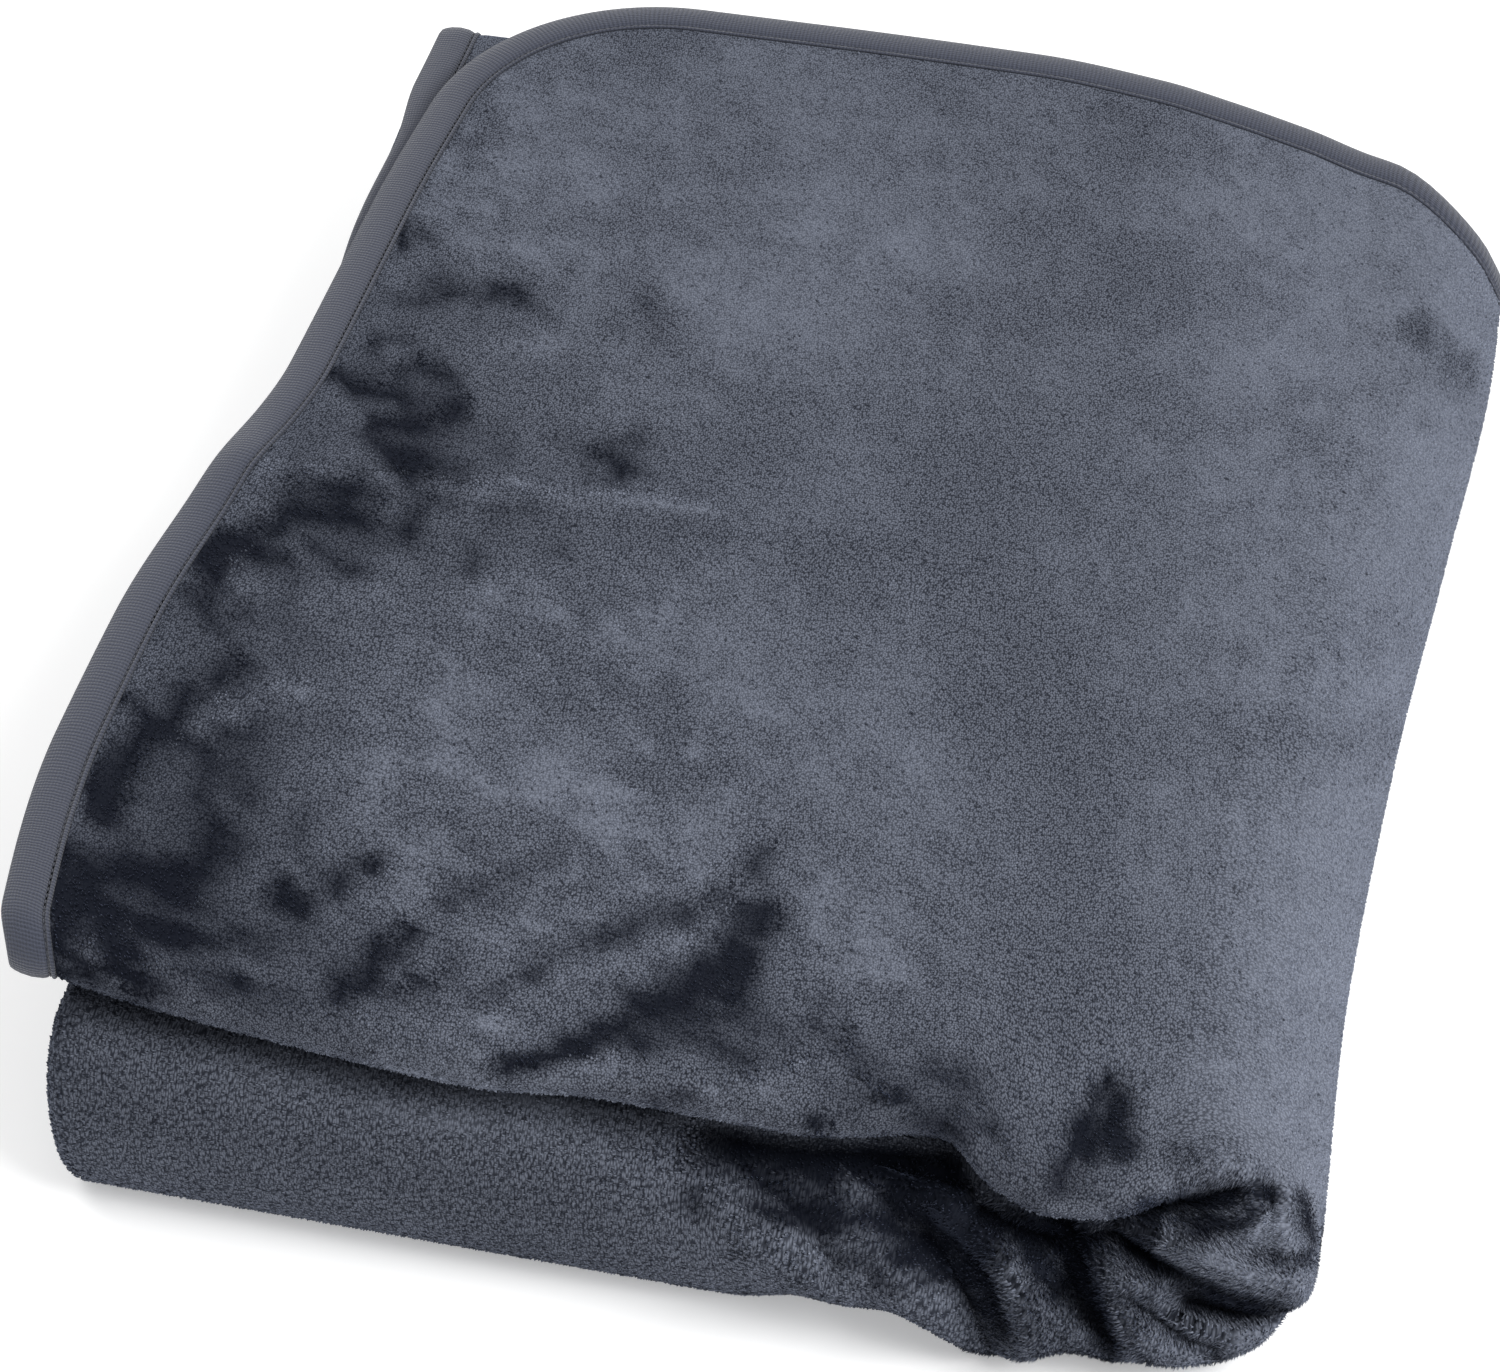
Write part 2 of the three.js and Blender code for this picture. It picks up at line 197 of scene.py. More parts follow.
# Lips, pockets and creases below the top panel: the line, the height, the fade to each side.
LOWER_FOLDS: tuple[Fold, ...] = (
    Fold(((86.2, -191.0), (95.3, -197.3), (108.2, -200.9), (122.8, -201.7),
          (131.3, -200.2)), -22, 4, 9),
    Fold(((120.3, -197.6), (124.7, -211.2), (129.8, -225.1), (134.9, -239.1)), -24, 3, 13),
    Fold(((134.9, -206.8), (139.3, -221.5), (145.2, -236.1)), 5, 8, 6),
    Fold(((127.6, -189.6), (133.8, -194.7), (139.3, -198.4), (147.4, -202.4), (155.8, -206.1),
          (165.0, -210.1), (174.2, -214.5), (183.3, -218.2), (190.7, -220.7),
          (198.0, -222.2)), 9, 9, 3.0),
    Fold(((135.7, -199.8), (148.9, -208.6), (163.5, -216.0), (178.9, -222.2),
          (193.6, -225.1)), -23, 4.0, 9.5),
    Fold(((160.6, -225.9), (176.0, -229.5), (189.2, -228.4)), -23, 6, 6),
    Fold(((131.3, -202.4), (137.1, -213.4), (145.6, -221.8), (155.8, -228.1), (166.8, -232.5),
          (179.7, -233.6), (192.5, -231.4), (200.9, -227.0)), 5, 5, 7),
    Fold(((142.3, -225.1), (150.3, -232.1), (160.6, -238.3), (170.5, -240.9)), -13, 3.5, 7),
    Fold(((134.9, -193.2), (146.7, -188.8), (157.7, -185.5), (168.7, -183.7),
          (178.2, -182.2)), -15, 2.5, 8),
    Fold(((69.3, -187.4), (80.7, -195.4), (89.8, -203.5), (94.2, -211.9), (99.4, -222.2),
          (102.3, -232.8), (104.9, -241.6)), 9, 12, 2.5),
    Fold(((67.8, -196.5), (77.7, -203.1), (85.8, -211.9), (90.9, -221.5),
          (95.3, -232.5)), -18, 3, 13),
    Fold(((47.7, -176.0), (64.2, -181.1), (78.8, -184.8)), -18, 6, 4),
    Fold(((103.4, -223.7), (113.7, -231.0), (125.4, -242.4)), 8, 3.5, 9),
    Fold(((106.3, -219.3), (115.9, -225.1), (126.9, -234.7)), -9, 6, 3.5),
    Fold(((-13.9, -165.0), (11.0, -169.4), (40.3, -171.6), (73.3, -173.8)), -16, 6, 8),
    Fold(((189.9, -183.3), (191.0, -190.7)), -6, 4, 4),
    Fold(((202.8, -189.6), (203.9, -204.2)), -6, 4, 4),
    Fold(((196.5, -187.0), (197.3, -205.3)), 3, 4, 4),
    Fold(((3.7, -183.0), (18.3, -194.0), (29.3, -210.5)), -6, 5, 7),
    Fold(((47.7, -184.8), (56.8, -199.5), (77.0, -216.0)), -8, 6, 8),
    Fold(((-18.3, -181.1), (-3.7, -199.5), (18.3, -214.1)), 4, 8, 8),
    Fold(((33.0, -188.5), (45.8, -205.0), (66.0, -225.1)), 5, 8, 8),
)
# Creases and dimples of the top panel and of the bend, in the same way.
UPPER_FOLDS: tuple[Fold, ...] = (
    Fold(((37.0, -142.6), (53.2, -153.6), (72.6, -165.0), (77.7, -168.7)), 3, 9, 2),
    Fold(((-69.7, -147.4), (-40.3, -148.9), (-14.7, -146.7), (18.3, -137.5),
          (34.8, -134.2)), 4, 8, 6),
    Fold(((75.2, -159.1), (80.7, -168.3), (86.5, -181.1)), 4, 3.5, 3.5),
    Fold(((86.2, -159.1), (90.9, -170.1)), -3, 4, 4),
    Fold(((130.2, -150.3), (122.5, -163.9), (113.7, -181.1)), -6, 8, 5),
    Fold(((146.7, -148.1), (139.3, -170.1)), 3, 7, 7),
    Fold(((-180.4, 80.3), (-152.2, 78.5), (-124.3, 75.9), (-99.7, 73.3), (-57.6, 69.7),
          (-11.0, 65.3)), 1.6, 9, 3),
    Fold(((130.2, -188.5), (146.7, -184.1), (157.7, -180.8), (168.7, -178.9),
          (178.9, -177.5)), 4, 9, 3),
    Fold(((-69.7, -133.5), (-32.3, -116.6), (-5.9, -96.1), (14.7, -63.8)), -2.5, 9, 14),
    Fold(((-239.8, -42.2), (-231.0, -27.1), (-216.0, -10.6), (-198.4, 2.2)), -2, 7, 7),
)
# Where the pile lies flat, darkened with painted shade for the light that flat pile sends back less
# of: how dark, how wide, and the line.
FLAT_PILE_PAINTED_SHADE: tuple[Fold, ...] = tuple(
    Fold(tuple(line), strength, width, width)
    for strength, width, *line in (
        (1.0, 4.0, (-129.1, 165.0), (-127.6, 162.1)),
        (0.5, 5.9, (-127.6, 168.7), (-118.1, 165.0), (-116.6, 159.9)),
        (0.62, 4.4, (-129.4, 141.5), (-113.7, 142.6), (-102.7, 145.2), (-91.7, 143.7)),
        (0.5, 4.0, (-118.1, 147.4), (-108.2, 148.9)),
        (0.85, 4.8, (-93.1, 144.5), (-88.0, 143.0), (-84.0, 140.8)),
        (0.35, 4.4, (-84.0, 140.1), (-74.1, 133.5)),
        (0.55, 5.1, (-139.0, 125.8), (-133.8, 127.6), (-123.9, 127.6)),
        (0.85, 5.5, (-152.5, 114.8), (-146.7, 111.5), (-140.8, 108.2), (-132.7, 106.3)),
        (0.65, 5.1, (-134.2, 107.1), (-129.8, 113.7), (-121.7, 115.9), (-112.9, 115.9)),
        (0.55, 5.5, (-113.7, 114.4), (-109.3, 107.8), (-104.9, 100.5)),
        (0.5, 7.3, (-125.4, 103.4), (-119.5, 104.9)),
        (0.85, 6.2, (-133.8, 93.9), (-123.9, 94.6), (-113.7, 97.5), (-105.6, 99.7)),
        (1.0, 5.1, (-112.2, 99.7), (-104.9, 101.2)),
        (0.95, 6.6, (-132.7, 88.0), (-126.9, 82.1), (-123.2, 79.9)),
        (0.5, 8.1, (-137.1, 90.2), (-121.0, 86.5), (-107.1, 79.2)),
        (0.4, 5.1, (-91.7, 90.9), (-87.3, 82.1)),
        (0.4, 5.1, (-71.1, 90.9), (-67.5, 88.0)),
        (0.5, 5.1, (-58.7, 78.5), (-52.8, 84.3), (-40.3, 90.2)),
        (0.9, 5.5, (-54.3, 84.3), (-49.1, 81.4), (-44.0, 77.7)),
        (0.85, 6.2, (-169.4, 72.6), (-157.7, 71.1), (-145.9, 70.4), (-137.1, 66.0)),
        (0.85, 7.3, (-165.0, 63.8), (-150.3, 60.9), (-139.3, 57.9)),
        (0.95, 6.6, (-196.2, 51.7), (-185.2, 54.3), (-173.1, 57.9), (-165.0, 63.8)),
        (1.0, 5.9, (-201.7, 49.1), (-196.5, 48.4), (-199.5, 41.1)),
        (0.85, 4.4, (-181.1, 45.5), (-170.5, 47.7)),
        (0.6, 5.5, (-159.1, 50.6), (-153.3, 46.2), (-146.7, 43.3)),
        (0.75, 5.5, (-119.5, 69.7), (-123.9, 62.3), (-125.4, 52.8)),
        (0.4, 5.1, (-113.7, 67.5), (-99.0, 62.3), (-90.2, 60.9)),
        (0.55, 4.0, (-102.7, 47.7), (-101.2, 41.1)),
        (0.4, 7.3, (-82.9, 63.8), (-71.1, 60.9), (-69.7, 50.6)),
        (0.45, 5.5, (-38.5, 141.5), (-33.0, 134.9)),
        (0.3, 4.0, (-34.8, 130.5), (-30.1, 123.2)),
        (0.65, 5.9, (-204.6, 35.2), (-199.5, 29.3), (-196.5, 19.8)),
        (0.5, 5.9, (-192.9, 31.5), (-184.8, 24.2)),
        (0.9, 4.0, (-233.9, -4.4), (-228.8, -5.9)),
        (1.0, 6.2, (-187.0, 8.1), (-193.6, 4.4), (-200.9, 0.7), (-208.3, -5.1)),
        (1.0, 8.8, (-208.3, -5.1), (-216.3, -13.2), (-223.7, -21.3)),
        (1.0, 7.3, (-223.7, -21.3), (-231.0, -30.1), (-235.4, -38.9), (-236.9, -46.2)),
        (0.55, 6.6, (-203.1, -18.3), (-190.7, -19.1), (-181.1, -16.1)),
        (0.6, 6.2, (-198.0, -23.5), (-199.5, -38.1), (-200.2, -52.8)),
        (0.5, 6.6, (-188.5, -28.6), (-184.8, -41.8)),
        (0.4, 5.1, (-212.7, -41.8), (-205.3, -50.6)),
        (1.0, 8.8, (-253.0, -64.5), (-244.2, -68.2), (-233.9, -68.2), (-223.7, -69.7)),
        (1.0, 9.5, (-223.7, -71.1), (-210.5, -72.6), (-200.2, -66.7), (-193.6, -58.7)),
        (0.7, 5.9, (-196.5, -49.1), (-193.6, -58.7)),
        (1.0, 8.8, (-252.3, -74.8), (-248.6, -85.8), (-250.8, -97.5)),
        (0.9, 9.5, (-245.7, -77.0), (-234.7, -84.3), (-230.3, -96.8)),
        (0.7, 7.3, (-229.5, -89.5), (-220.0, -90.9), (-206.8, -93.1)),
        (0.75, 6.6, (-254.5, -103.4), (-234.7, -104.9), (-220.0, -111.5)),
        (0.6, 7.3, (-209.0, -102.7), (-187.0, -111.5), (-165.0, -116.6)),
        (1.0, 6.2, (-170.9, -73.3), (-169.4, -77.7), (-165.0, -81.4)),
        (0.9, 5.1, (-176.7, -78.5), (-167.9, -78.5)),
        (0.5, 5.1, (-165.0, -46.2), (-162.8, -56.5), (-160.6, -66.7)),
        (0.7, 5.9, (-160.6, -77.7), (-152.5, -74.8), (-146.7, -68.9), (-137.1, -63.8)),
        (0.5, 7.3, (-195.8, -93.1), (-183.3, -92.4), (-170.1, -90.2)),
        (0.85, 7.3, (-148.9, -111.5), (-140.8, -104.9), (-133.5, -96.8), (-129.1, -92.4)),
        (0.5, 6.6, (-129.1, -112.2), (-117.3, -109.3), (-109.3, -101.9)),
        (0.5, 4.8, (-113.7, -80.7), (-104.1, -77.0), (-96.8, -74.1)),
        (0.45, 6.2, (-91.7, -71.1), (-79.2, -66.0), (-68.9, -58.7)),
        (0.5, 5.5, (-100.5, -115.9), (-88.0, -109.3), (-73.3, -101.2), (-63.1, -95.3)),
        (0.55, 6.2, (-55.0, -93.1), (-40.3, -86.5), (-22.0, -82.9)),
        (0.55, 4.8, (-22.0, -82.9), (-7.3, -74.8), (2.2, -65.3), (11.0, -60.1)),
        (0.95, 5.9, (-88.7, -139.3), (-77.0, -137.1), (-65.3, -132.0)),
        (1.0, 6.6, (-69.7, -134.2), (-55.0, -127.6), (-40.3, -120.3)),
        (1.0, 9.9, (-40.3, -120.3), (-27.1, -113.7), (-16.9, -107.8)),
        (1.0, 10.3, (-18.3, -109.3), (-9.5, -101.2), (-2.9, -93.1), (2.9, -85.1)),
        (0.8, 6.6, (-5.9, -115.1), (0.7, -100.5), (5.1, -88.0)),
        (0.6, 11.0, (-40.3, -129.8), (-22.0, -126.1), (-3.7, -122.5)),
        (0.5, 6.6, (-11.0, -132.0), (-2.9, -137.1)),
        (0.45, 6.6, (20.5, -111.5), (27.1, -118.8), (25.7, -128.3)),
        (0.6, 6.6, (35.2, -133.5), (40.3, -139.3)),
        (0.35, 6.6, (6.6, -117.3), (11.0, -137.1)),
        (0.5, 4.4, (-33.0, -150.3), (-18.3, -151.8)),
        (0.85, 4.4, (22.7, -156.9), (27.1, -162.8)),
        (0.55, 7.3, (47.7, -148.9), (62.3, -156.9), (77.0, -162.8)),
        (0.4, 8.8, (66.0, -140.1), (81.4, -148.1)),
        (0.55, 6.6, (77.0, -155.5), (88.0, -162.8)),
        (0.8, 5.5, (127.6, -146.7), (128.3, -156.2)),
        (1.0, 9.5, (132.7, -156.2), (126.1, -162.1), (121.7, -169.4)),
        (0.95, 6.2, (121.0, -169.4), (116.6, -175.3), (112.9, -183.3)),
        (0.85, 6.6, (129.8, -160.6), (137.1, -168.7)),
        (0.85, 4.0, (187.7, -185.5), (192.1, -189.2)),
        (0.85, 3.3, (203.1, -189.9), (204.6, -203.1)),
        (0.3, 5.1, (155.8, -170.1), (165.0, -175.6)),
        (0.35, 9.5, (243.8, 130.5), (258.5, 115.9)),
        (0.85, 6.6, (3.7, -181.1), (18.3, -183.3), (29.3, -185.5)),
        (0.6, 5.9, (-12.5, -173.8), (-0.7, -177.5)),
        (0.95, 8.1, (18.3, -191.4), (33.0, -194.3), (46.2, -193.6)),
        (0.7, 4.8, (4.4, -192.9), (9.2, -196.5)),
        (0.6, 5.1, (-22.0, -186.6), (-18.3, -191.4)),
        (0.9, 5.9, (-5.5, -170.1), (29.3, -177.5)),
        (1.0, 7.3, (36.7, -175.3), (73.3, -180.4)),
        (1.0, 11.0, (55.0, -184.8), (71.9, -192.1), (84.3, -205.3)),
        (0.9, 9.5, (55.0, -203.1), (69.7, -211.2), (84.3, -219.3)),
        (0.8, 6.6, (44.0, -179.7), (50.6, -196.5)),
        (0.7, 5.9, (77.0, -212.3), (88.7, -227.3)),
        (0.4, 5.1, (36.7, -209.0), (55.0, -219.3)),
        (1.0, 5.5, (137.5, -193.6), (152.2, -190.7), (176.7, -187.0)),
        (0.8, 5.9, (146.7, -199.5), (170.5, -198.0), (183.3, -193.6)),
        (0.5, 5.9, (187.0, -207.5), (201.7, -211.2)),
        (1.0, 9.5, (102.7, -197.3), (117.3, -203.1), (123.2, -213.4)),
        (0.85, 6.6, (95.3, -196.5), (104.9, -211.2), (110.7, -222.2)),
        (1.0, 4.8, (122.8, -211.2), (130.2, -228.8)),
        (0.8, 5.5, (141.5, -207.5), (157.7, -221.5), (187.0, -227.3)),
    )
)
# Painted light and shade on the pile, with painted highlights along lips and creases: how much
# lighter, how wide, and the line.
PAINTED_LIGHT_AND_SHADE: tuple[Fold, ...] = tuple(
    Fold(tuple(line), strength, width, width)
    for strength, width, *line in (
        (-0.24, 47.7, (-143.0, 104.9), (-190.7, -5.1), (-223.7, -96.8)),
        (-0.3, 18.3, (66.0, -159.1), (95.3, -177.5), (121.0, -181.1)),
        (-0.1, 25.7, (-69.7, -100.5), (3.7, -129.8), (55.0, -148.1)),
        (-0.32, 29.3, (-231.0, -56.5), (-201.7, -78.5), (-154.0, -107.8)),
        (-0.24, 17.6, (-220.0, -27.1), (-183.3, -32.6)),
        (0.34, 4.4, (-203.5, -13.9), (-183.3, -5.9), (-164.3, -1.5)),
        (0.24, 5.1, (-225.1, -47.7), (-214.1, -37.4)),
        (0.14, 5.9, (-188.5, -67.5), (-183.3, -82.1)),
        (0.12, 5.1, (-194.3, -102.3), (-165.0, -104.1)),
        (0.12, 8.1, (-126.5, -78.5), (-113.7, -89.5)),
        (0.1, 36.7, (-128.3, -16.1), (-55.0, -34.5), (40.3, -27.1)),
        (0.1, 33.0, (-84.3, 196.5), (3.7, 207.5), (55.0, 156.2), (-18.3, 119.5)),
        (-0.12, 12.5, (-117.3, 90.2), (-55.0, 86.5), (-11.0, 82.1)),
        (-0.15, 15.4, (-121.0, 110.4), (-113.7, 86.5)),
        (-0.15, 8.8, (-121.0, 141.5), (-84.3, 140.8)),
        (0.32, 2.6, (-180.4, 80.3), (-152.2, 78.5), (-124.3, 75.9), (-99.7, 73.3), (-57.6, 69.7),
         (-11.0, 65.3)),
        (-0.14, 11.0, (-168.7, 59.4), (-135.7, 53.5), (-69.7, 51.7), (-18.3, 57.2)),
        (0.12, 6.6, (-192.5, 38.9), (-165.0, 35.2), (-121.0, 33.0)),
        (-0.16, 11.0, (-201.7, 31.5), (-188.5, 13.2)),
        (0.1, 4.4, (-129.8, 122.5), (-102.7, 125.4), (-69.7, 123.2)),
        (0.08, 5.9, (-91.7, 155.5), (-40.3, 159.9), (3.7, 141.5)),
        (-0.06, 14.7, (-44.0, 141.5), (3.7, 97.5), (40.3, 46.2)),
        (0.14, 4.4, (-99.0, -123.9), (-69.7, -111.5), (-40.3, -99.7), (-12.5, -86.5)),
        (0.12, 4.4, (-91.7, -94.6), (-69.7, -84.3), (-40.3, -75.5), (-11.0, -64.5)),
        (-0.2, 12.5, (-40.3, -126.1), (3.7, -129.8)),
        (0.12, 18.3, (29.3, -78.5), (40.3, -100.5)),
        (0.16, 5.5, (-18.3, -144.5), (14.7, -145.9), (36.7, -132.0)),
        (-0.12, 14.7, (40.3, -140.8), (84.3, -159.1)),
        (-0.12, 25.7, (77.0, 68.2), (113.7, -27.1), (113.7, -115.1)),
        (-0.04, 22.0, (143.0, 141.5), (157.7, 68.2)),
        (0.3, 2.2, (-91.7, -151.1), (-55.0, -154.0), (-18.3, -162.8), (25.7, -168.7),
         (55.0, -167.6), (73.3, -167.6)),
        (0.25, 1.8, (-242.0, -113.7), (-201.7, -126.1), (-154.0, -137.9), (-91.7, -151.1)),
        (0.3, 2.6, (102.7, -191.4), (132.0, -191.4), (154.0, -184.8)),
        (0.35, 3.3, (3.7, -196.5), (29.3, -209.7), (55.0, -222.9)),
        (0.1, 9.5, (-40.3, -173.8), (-18.3, -203.1), (3.7, -217.8)),
        (0.14, 9.5, (-238.3, -126.1), (-128.3, -155.5), (-55.0, -166.5)),
        (-0.08, 8.1, (-242.0, -151.8), (-165.0, -170.1), (-55.0, -195.8)),
        (-0.2, 7.3, (-55.0, -156.2), (-18.3, -173.8), (3.7, -184.8)),
        (0.4, 2.2, (81.4, -184.8), (93.1, -201.7), (99.7, -221.5)),
        (0.4, 3.7, (185.5, -199.5), (192.9, -192.1)),
        (-0.2, 7.3, (143.0, -211.2), (176.0, -225.1)),
    )
)


@dataclass(frozen=True)
class Slant:
    """A plane in front of the bundle, and the point that the folds' forms are pulled towards."""

    target: tuple[float, float, float] = (-33.2, 7.4, 0.0)
    azimuth: float = math.radians(12.8)
    elevation: float = math.radians(42.0)
    distance: float = 1880.0
    reach: float = 1540.0
    lowest: float = 5.0

    def axes(self) -> tuple[np.ndarray, np.ndarray, np.ndarray]:
        """The plane's own ways.

        Returns:
            Its right, its up, and the way back from it.
        """
        level = math.cos(self.elevation)
        sine, cosine = math.sin(self.azimuth), math.cos(self.azimuth)
        back = np.array([sine * level, -cosine * level, math.sin(self.elevation)])
        right = np.array([cosine, sine, 0.0])
        return right, np.cross(back, right), back

    def point(self) -> np.ndarray:
        """The point that the forms are pulled towards."""
        return np.array(self.target) + self.axes()[2] * self.distance

    def spots(self, points: np.ndarray) -> tuple[np.ndarray, np.ndarray]:
        """Where points show on the plane.

        Args:
            points: points in millimetres.

        Returns:
            The points' places along the plane's right and along its up.
        """
        right, up, back = self.axes()
        away = points - self.point()
        depth = -(away @ back)
        return self.reach * (away @ right) / depth, self.reach * (away @ up) / depth

    def pull(self, points: np.ndarray, height: np.ndarray) -> np.ndarray:
        """Moves points towards the plane's point, and none of them below the lowest height.

        Args:
            points: points in millimetres.
            height: how far each of them moves, less than 0 for the other way.

        Returns:
            The moved points.
        """
        away = self.point() - points
        away = away / np.linalg.norm(away, axis=-1, keepdims=True)
        room = np.maximum(points[..., 2] - self.lowest, 0.0) / away[..., 2]
        return points + away * np.maximum(height, -room)[..., None]


@dataclass(frozen=True)
class Strip:
    """One of the three strips of the second fold.

    It holds the heights of the outer, the inner and the tucked layer, the places of the outer and
    the tucked layer's edges, and the place, depth and squareness of the folds between the layers.
    """

    outer: float
    inner: float
    tucked: float
    edge: float
    front_y: float
    front_depth: float
    front_square: float
    back_y: float
    back_depth: float
    tucked_edge: float


@dataclass(frozen=True)
class FlatSheet:
    """The flat blanket, with the lengths of the stretches between its folds."""

    top_strip: float = 448.0
    right_bend: float = 120.0
    bottom_strip: float = 426.0
    left_bend: float = 26.0
    flap: float = 410.0
    outer_panel: float = 680.0
    front_fold: float = 60.0
    inner_panel: float = 650.0
    back_fold: float = 32.0
    tucked_panel: float = 620.0
    thickness: float = 7.0
    rim_thickness: float = 3.4
    rim_width: float = 18.6
    thin_until: float = 18.0
    full_from: float = 21.6
    ramp_width: float = 22.0
    corner_radius: float = 105.0

    @property
    def across(self) -> np.ndarray:
        """Where each stretch across the width starts, and where the last one ends."""
        legs = [self.top_strip, self.right_bend, self.bottom_strip, self.left_bend, self.flap]
        return np.concatenate([[0.0], np.cumsum(legs)])

    @property
    def along(self) -> np.ndarray:
        """Where the stretches along the length start.

        Returns:
            The start of each of them, and the end of the last one.
        """
        legs = [self.outer_panel, self.front_fold, self.inner_panel]
        legs += [self.back_fold, self.tucked_panel]
        return np.concatenate([[0.0], np.cumsum(legs)])

    @property
    def width(self) -> float:
        """Width of the flat blanket."""
        return float(self.across[-1])

    @property
    def length(self) -> float:
        """Length of the flat blanket."""
        return float(self.along[-1])

    @property
    def area(self) -> float:
        """Area of the flat blanket, less its rounded corners."""
        return self.width * self.length - (4.0 - math.pi) * self.corner_radius**2


@dataclass(frozen=True)
class Bundle:
    """The folded blanket: where each spot of the flat sheet lies."""

    sheet: FlatSheet = FlatSheet()
    middle: tuple[float, float] = (-11.8, -15.4)
    left: float = -254.0
    right: float = 194.0
    right_radius: float = 60.0
    left_radius: float = 12.0
    top: Strip = Strip(
        outer=116.5, inner=96.0, tucked=106.2, edge=344.0, tucked_edge=-304.0,
        front_y=-353.0, front_depth=14.0, front_square=1.0,
        back_y=318.0, back_depth=6.0,
    )
    bottom: Strip = Strip(
        outer=3.5, inner=82.5, tucked=35.5, edge=341.0, tucked_edge=-298.0,
        front_y=-367.0, front_depth=32.0, front_square=0.68,
        back_y=334.0, back_depth=21.0,
    )
    flap: Strip = Strip(
        outer=19.5, inner=68.5, tucked=50.0, edge=336.0, tucked_edge=-298.0,
        front_y=-322.0, front_depth=20.0, front_square=0.85,
        back_y=318.0, back_depth=8.0,
    )
    left_swing: Profile = Profile(
        ((-352, 0), (-320, 13), (-222, 26), (-150, 27), (-56, 19), (30, 7), (160, 6), (300, 0))
    )
    under_swing: Profile = Profile(((60, 0), (150, 8), (215, 11), (270, 19), (318, 20)))
    right_swing: Profile = Profile(
        ((-360, -7), (-200, -13), (-60, -10), (90, -2), (240, 5), (341, 3))
    )
    sink: Profile = Profile(((20, 0), (81, 5), (115, 12), (150, 21), (194, 33), (260, 34)))
    front_sag: Profile = Profile(((92, 0), (128, 6), (150, 11), (172, 11), (215, 0)))
    back_draw: Profile = Profile(((-80, 0), (90, 4), (186, 6), (237, 29), (260, 30)))
    lip_line: Profile = Profile(
        ((-254, 17), (-200, 8), (-130, 0), (-71, -4), (-24, 1), (51, 0), (106, 11))
        + ((130, -5), (150, -9), (172, -6), (212, 8), (260, 8))
    )
    gathers: tuple[Stroke, ...] = (
        Stroke(20, 82, 90, 76, 17, -12),
        Stroke(40, 54, 72, 40, 14, 6),
        Stroke(98, 42, 132, 8, 12, 7),
        Stroke(92, 72, 118, 44, 13, -7),
        Stroke(108, 88, 126, 70, 13, 5),
        Stroke(126, 70, 147, 8, 13, 7),
        Stroke(146, 76, 160, 50, 14, -13),
        Stroke(172, 66, 180, 34, 12, 4),
        Stroke(184, 50, 206, 24, 12, 3),
        Stroke(56, 6, 98, 6, 16, -8),
        Stroke(158, 7, 212, 12, 11, -6),
        Stroke(206, 24, 240, 22, 11, -3),
        Stroke(204, 50, 238, 40, 12, -13),
        Stroke(190, 76, 244, 60, 11, 4),
    )
    crease: Stroke = Stroke(-254, -48, 60, -44, 24, 3)
    slant: Slant = Slant()
    top_heights: tuple[float, float] = (82.0, 98.0)
    settled_heights: tuple[float, float] = (7.0, 83.0)
    lip_height: float = 40.0
    lip_side: Zone = Zone(rise=(170.0, 215.0))
    top_underside: Zone = Zone(fall=(106.0, 115.0))
    front: Zone = Zone(fall=(-352.0, -240.0))
    front_face: Zone = Zone(fall=(-350.0, -322.0))
    front_slack: Zone = Zone(fall=(-345.0, -260.0))
    left_side: Zone = Zone(fall=(-250.0, -40.0))
    right_side: Zone = Zone(rise=(60.0, 230.0))
    back_side: Zone = Zone(rise=(120.0, 341.0))
    back_slope: Zone = Zone(rise=(-120.0, 330.0))
    lower_across: Zone = Zone((425.0, 452.0), (940.0, 990.0))
    lower_along: Zone = Zone((668.0, 692.0), (742.0, 775.0))
    upper_across: Zone = Zone(fall=(470.0, 520.0))
    upper_along: Zone = Zone(fall=(705.0, 722.0))

    def section(self, v: np.ndarray, strip: Strip) -> tuple[np.ndarray, np.ndarray]:
        """Where spots lie along the first fold of a strip.

        Args:
            v: places along the flat sheet's length.
            strip: the strip that the section is taken of.

        Returns:
            The y and the z of the spots.
        """
        starts = self.sheet.along
        t = [np.clip((v - a) / (b - a), 0.0, None) for a, b in zip(starts, starts[1:])]
        face = strip.front_y + strip.front_depth
        heel = strip.back_y - strip.back_depth
        turn = np.pi * np.clip(t[1], 0.0, 1.0)
        bend = np.pi * np.clip(t[3], 0.0, 1.0)
        reach = np.abs(np.sin(turn)) ** strip.front_square
        legs_y = [
            mix(strip.edge, face, (v - starts[0]) / (starts[1] - starts[0])),
            strip.front_y + strip.front_depth * (1.0 - reach),
            mix(face, heel, t[2]),
            strip.back_y - strip.back_depth * (1.0 - np.sin(bend)),
            mix(heel, strip.tucked_edge, t[4]),
        ]
        legs_z = [
            np.full_like(v, strip.outer),
            mix(strip.outer, strip.inner, (1.0 - np.cos(turn)) / 2.0),
            np.full_like(v, strip.inner),
            mix(strip.inner, strip.tucked, (1.0 - np.cos(bend)) / 2.0),
            np.full_like(v, strip.tucked),
        ]
        leg = np.clip(np.searchsorted(starts, v, side="left") - 1, 0, 4)
        return np.choose(leg, legs_y), np.choose(leg, legs_z)

